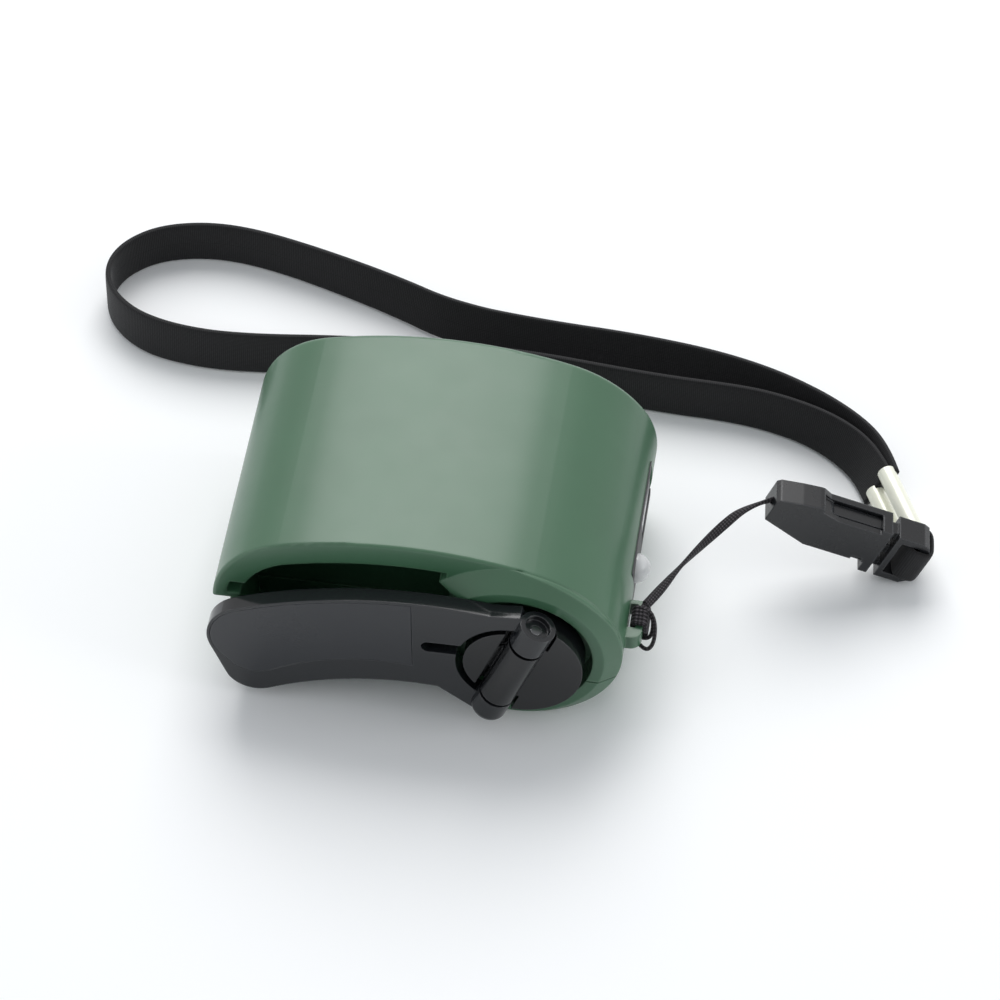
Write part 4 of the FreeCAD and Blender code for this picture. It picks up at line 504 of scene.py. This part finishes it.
thin_cord = rounded_bar(CORD, CORD, 12, 2.0)
side_loops = [
    [(35.0, -14.2, 16.6), (36.6, -14.8, 16.4), (37.7, -16.6, 15.0), (37.7, -19.3, 13.1), (36.3, -20.1, 12.3),
     (34.7, -18.2, 12.7)],
    [(35.3, -14.8, 16.6), (36.6, -14.9, 16.4), (37.4, -16.4, 14.8), (36.9, -18.2, 12.7), (34.9, -17.3, 12.6)],
]
lug_parts = [ribbon(to_metres(winding()), thin_cord, up=(0.0, 1.0, 0.0))]
for loop in side_loops:
    lug_parts.append(ribbon(smooth_line(to_metres(loop), 10), thin_cord * LOOSE_SHARE, up=LOOP_UP))
lug_wrap = piece("lug_winding", lug_parts, "case", "cord_black")
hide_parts("lanyard_loop")
print("winding:", len(lug_wrap.data.polygons), "faces")

# %% [markdown]
# The free part of the lanyard is a thin flat braid that twists nearly once on its way to the buckle.  A cloth
# simulation could hang it, at the cost of a bake and a slightly different shape each time; a line near six
# points always gives the same curve and ends where the buckle's nose holds it.

# %% Lanyard
BRAID_WIDE, BRAID_THICK = 1.6 * MM, 0.7 * MM
BRAID_TWIST, UPRIGHT_AT = 5.2, 0.15
lanyard_route = to_metres([
    (35.7, -13.9, 16.5), (37.4, -10.4, 16.0), (40.2, -4.7, 16.3), (45.9, 4.0, 17.0), (49.6, 8.75, 17.4),
    (53.974, 10.906, 17.53),
])
lanyard_line = smooth_line(lanyard_route, 16)
share = np.linspace(0, 1, len(lanyard_line))
braid_section = rounded_bar(BRAID_WIDE, BRAID_THICK, 24, 2.6)
braid = ribbon(lanyard_line, braid_section, BRAID_TWIST * (share - UPRIGHT_AT))
lanyard = piece("lanyard_braid", [braid], "case", "cord_black")
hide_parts("lanyard_cord")
print("lanyard length", round(line_length(lanyard_line) / MM, 1), "mm,", len(lanyard.data.polygons), "faces")

# %% [markdown]
# The wrist strap is flat webbing that stands on its edge and runs from the crimps round the loop and back.  A
# strip of cloth could be simulated here too, but the way it lies is known, so a route on the table is simpler
# and exact.  It leans a little, more where it bends, and at the crimps it follows their slant.

# %% Wrist strap
STRAP_MIDDLE = 4.3
STRAP_TALL, STRAP_THICK = 8.2 * MM, 1.1 * MM
strap_route = to_metres([(x, y, STRAP_MIDDLE) for x, y in (
    (70.518, 27.353), (68.7, 31.3), (65.4, 35.3), (60.4, 38.8), (54.0, 41.4), (45.5, 43.2), (30.0, 43.7),
    (4.0, 46.6), (-22.0, 45.1), (-42.0, 42.5), (-53.0, 43.0), (-61.0, 45.4), (-66.6, 50.6), (-68.3, 56.8),
    (-66.0, 62.6), (-60.0, 67.2), (-50.0, 69.0), (-38.0, 66.9), (-19.0, 60.6), (-6.0, 54.8), (10.0, 53.0),
    (26.0, 52.2), (42.0, 50.0), (55.0, 45.7), (64.5, 39.6), (69.7, 33.7), (71.691, 27.913),
)])
strap_line = smooth_line(strap_route, 14)
# Pairs of millimetres along the strap and lean in radians.
LEAN = np.array([
    (0, -0.5), (10, -0.4), (20, -0.22), (35, -0.12), (73, -0.08), (119, -0.15), (135, -0.15), (150, 0.0),
    (170, 0.05), (190, 0.12), (209, 0.24), (223, 0.35), (245, 0.3), (285, 0.25), (300, 0.42), (310, 0.5),
])
walked = np.r_[0, step_lengths(strap_line).cumsum()] / MM
webbing = ribbon(strap_line, rounded_bar(STRAP_THICK, STRAP_TALL, 40, 6.0), np.interp(walked, *LEAN.T))
strap = piece("strap_webbing", [webbing], "strap_clip", "strap_black")
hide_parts("wrist_strap")
print("strap length", round(line_length(strap_line) / MM, 1), "mm,", len(strap.data.polygons), "faces")

# %% [markdown]
# A short tongue of the same webbing goes through the clip's slot and round its outer bar.  A bent plane would
# need its ends hidden; a closed ring about the bar has none.  The buckle lies tilted, so the ring is worked
# out in the buckle's own directions, along it, through it and up it, and then turned into place.

# %% Webbing round the clip's bar
YAW, PITCH = math.radians(5.0), math.radians(21.8)
BUCKLE_CORNER = np.array([50.7, 10.62, 10.39])
RING_LONG, RING_DEEP = 4.1, 5.7
RING_ALONG, RING_UP = 26.85, 5.2
TONGUE_THICK, TONGUE_WIDE = 0.8 * MM, 7.2 * MM
buckle_turn = np.array(Matrix.Rotation(YAW, 3, "Z") @ Matrix.Rotation(PITCH, 3, "Y"))


def on_buckle(points):
    """Millimetres along, through and up the buckle to metres in the packed model."""
    return to_metres(np.asarray(points) @ buckle_turn.T + BUCKLE_CORNER)


outline = rounded_bar(RING_LONG, RING_DEEP, 64, 3.5)
ring = np.c_[outline[:, 0] + RING_ALONG, outline[:, 1], np.full(len(outline), RING_UP)]
tongue = ribbon(on_buckle(ring), rounded_bar(TONGUE_THICK, TONGUE_WIDE, 24, 5.0), up=tuple(buckle_turn[:, 2]),
                closed=True)
clip_wrap = piece("clip_webbing", [tongue], "strap_clip", "strap_black")
print("webbing round the bar:", len(clip_wrap.data.polygons), "faces")

# %% [markdown]
# The generator lies on a plain white floor.  The world is white to the camera, to reflections and through
# glass, and a dim bluish sky to every other ray.  A brighter sky would whiten the background as well, but it
# would also wash out the object, so the two are kept apart by what kind of ray asks.

# %% Floor and world
SKY_COLOUR, SKY_STRENGTH = (0.9, 0.95, 1.0, 1.0), 0.5
WHITE_STRENGTH = 1.0
PAPER_COLOUR, PAPER_ROUGHNESS = (0.97, 0.97, 0.97, 1.0), 0.9
REACH = 3.0


def backdrop_white(tree, lit, strength):
    """Adds: plain white where a ray comes from the camera, a mirror or glass, else the lit shader."""
    path = tree.nodes.new("ShaderNodeLightPath")
    white = tree.nodes.new("ShaderNodeBackground")
    white.inputs["Strength"].default_value = strength
    shown = path.outputs["Is Camera Ray"]
    for ray in ("Is Glossy Ray", "Is Transmission Ray"):
        either = tree.nodes.new("ShaderNodeMath")
        either.operation = "MAXIMUM"
        tree.links.new(shown, either.inputs[0])
        tree.links.new(path.outputs[ray], either.inputs[1])
        shown = either.outputs[0]
    mix = tree.nodes.new("ShaderNodeMixShader")
    tree.links.new(shown, mix.inputs[0])
    tree.links.new(lit, mix.inputs[1])
    tree.links.new(white.outputs[0], mix.inputs[2])
    return mix.outputs[0]


world = bpy.data.worlds.new("studio")
bpy.context.scene.world = world
world.use_nodes = True
sky = world.node_tree.nodes["Background"]
sky.inputs["Color"].default_value = SKY_COLOUR
sky.inputs["Strength"].default_value = SKY_STRENGTH
world_out = world.node_tree.nodes["World Output"]
both = backdrop_white(world.node_tree, sky.outputs[0], WHITE_STRENGTH)
world.node_tree.links.new(both, world_out.inputs["Surface"])

floor_mesh = bpy.data.meshes.new("floor")
floor_mesh.from_pydata([(-REACH, -REACH, 0), (REACH, -REACH, 0), (REACH, REACH, 0), (-REACH, REACH, 0)], [],
                       [(0, 1, 2, 3)])
floor = bpy.data.objects.new("floor", floor_mesh)
bpy.context.scene.collection.objects.link(floor)
paper = bpy.data.materials.new("white_paper")
paper.use_nodes = True
paper.node_tree.nodes["Principled BSDF"].inputs["Base Color"].default_value = PAPER_COLOUR
paper.node_tree.nodes["Principled BSDF"].inputs["Roughness"].default_value = PAPER_ROUGHNESS
floor_mesh.materials.append(paper)
print("floor", 2 * REACH, "m wide under the", world.name)

# %% [markdown]
# One large lamp above and behind gives the broad highlight along the lacquered crown and a soft shadow in
# front.  Two weaker ones fill the left and the right end.  Point lamps would need neither size nor aim, but
# their highlights are hard dots, where a soft box draws a band.

# %% Lamps
LAMP_AIM = (0.0, 0.0, 0.02)
LAMPS = {
    # name: place in metres, width in metres, power in watts
    "overhead": ((-0.10, 0.65, 0.76), 0.75, 7.8),
    "left": ((-0.85, -0.45, 0.4), 0.5, 1.4),
    "right": ((0.9, -0.1, 0.35), 0.5, 2.0),
}


def lamp(name, place, width, power):
    """A square area lamp at a place, with its face turned along the line to the aim."""
    data = bpy.data.lights.new(name, "AREA")
    data.size, data.energy = width, power
    made = bpy.data.objects.new(name, data)
    away = Matrix.Translation(place).translation - Matrix.Translation(LAMP_AIM).translation
    made.matrix_world = Matrix.Translation(place) @ away.to_track_quat("Z", "Y").to_matrix().to_4x4()
    bpy.context.scene.collection.objects.link(made)


for name, (place, width, power) in LAMPS.items():
    lamp(name, place, width, power)
bpy.context.scene.view_settings.view_transform = "Standard"
print(len(LAMPS), "lamps,", sum(power for _, _, power in LAMPS.values()), "W in all")

# %% [markdown]
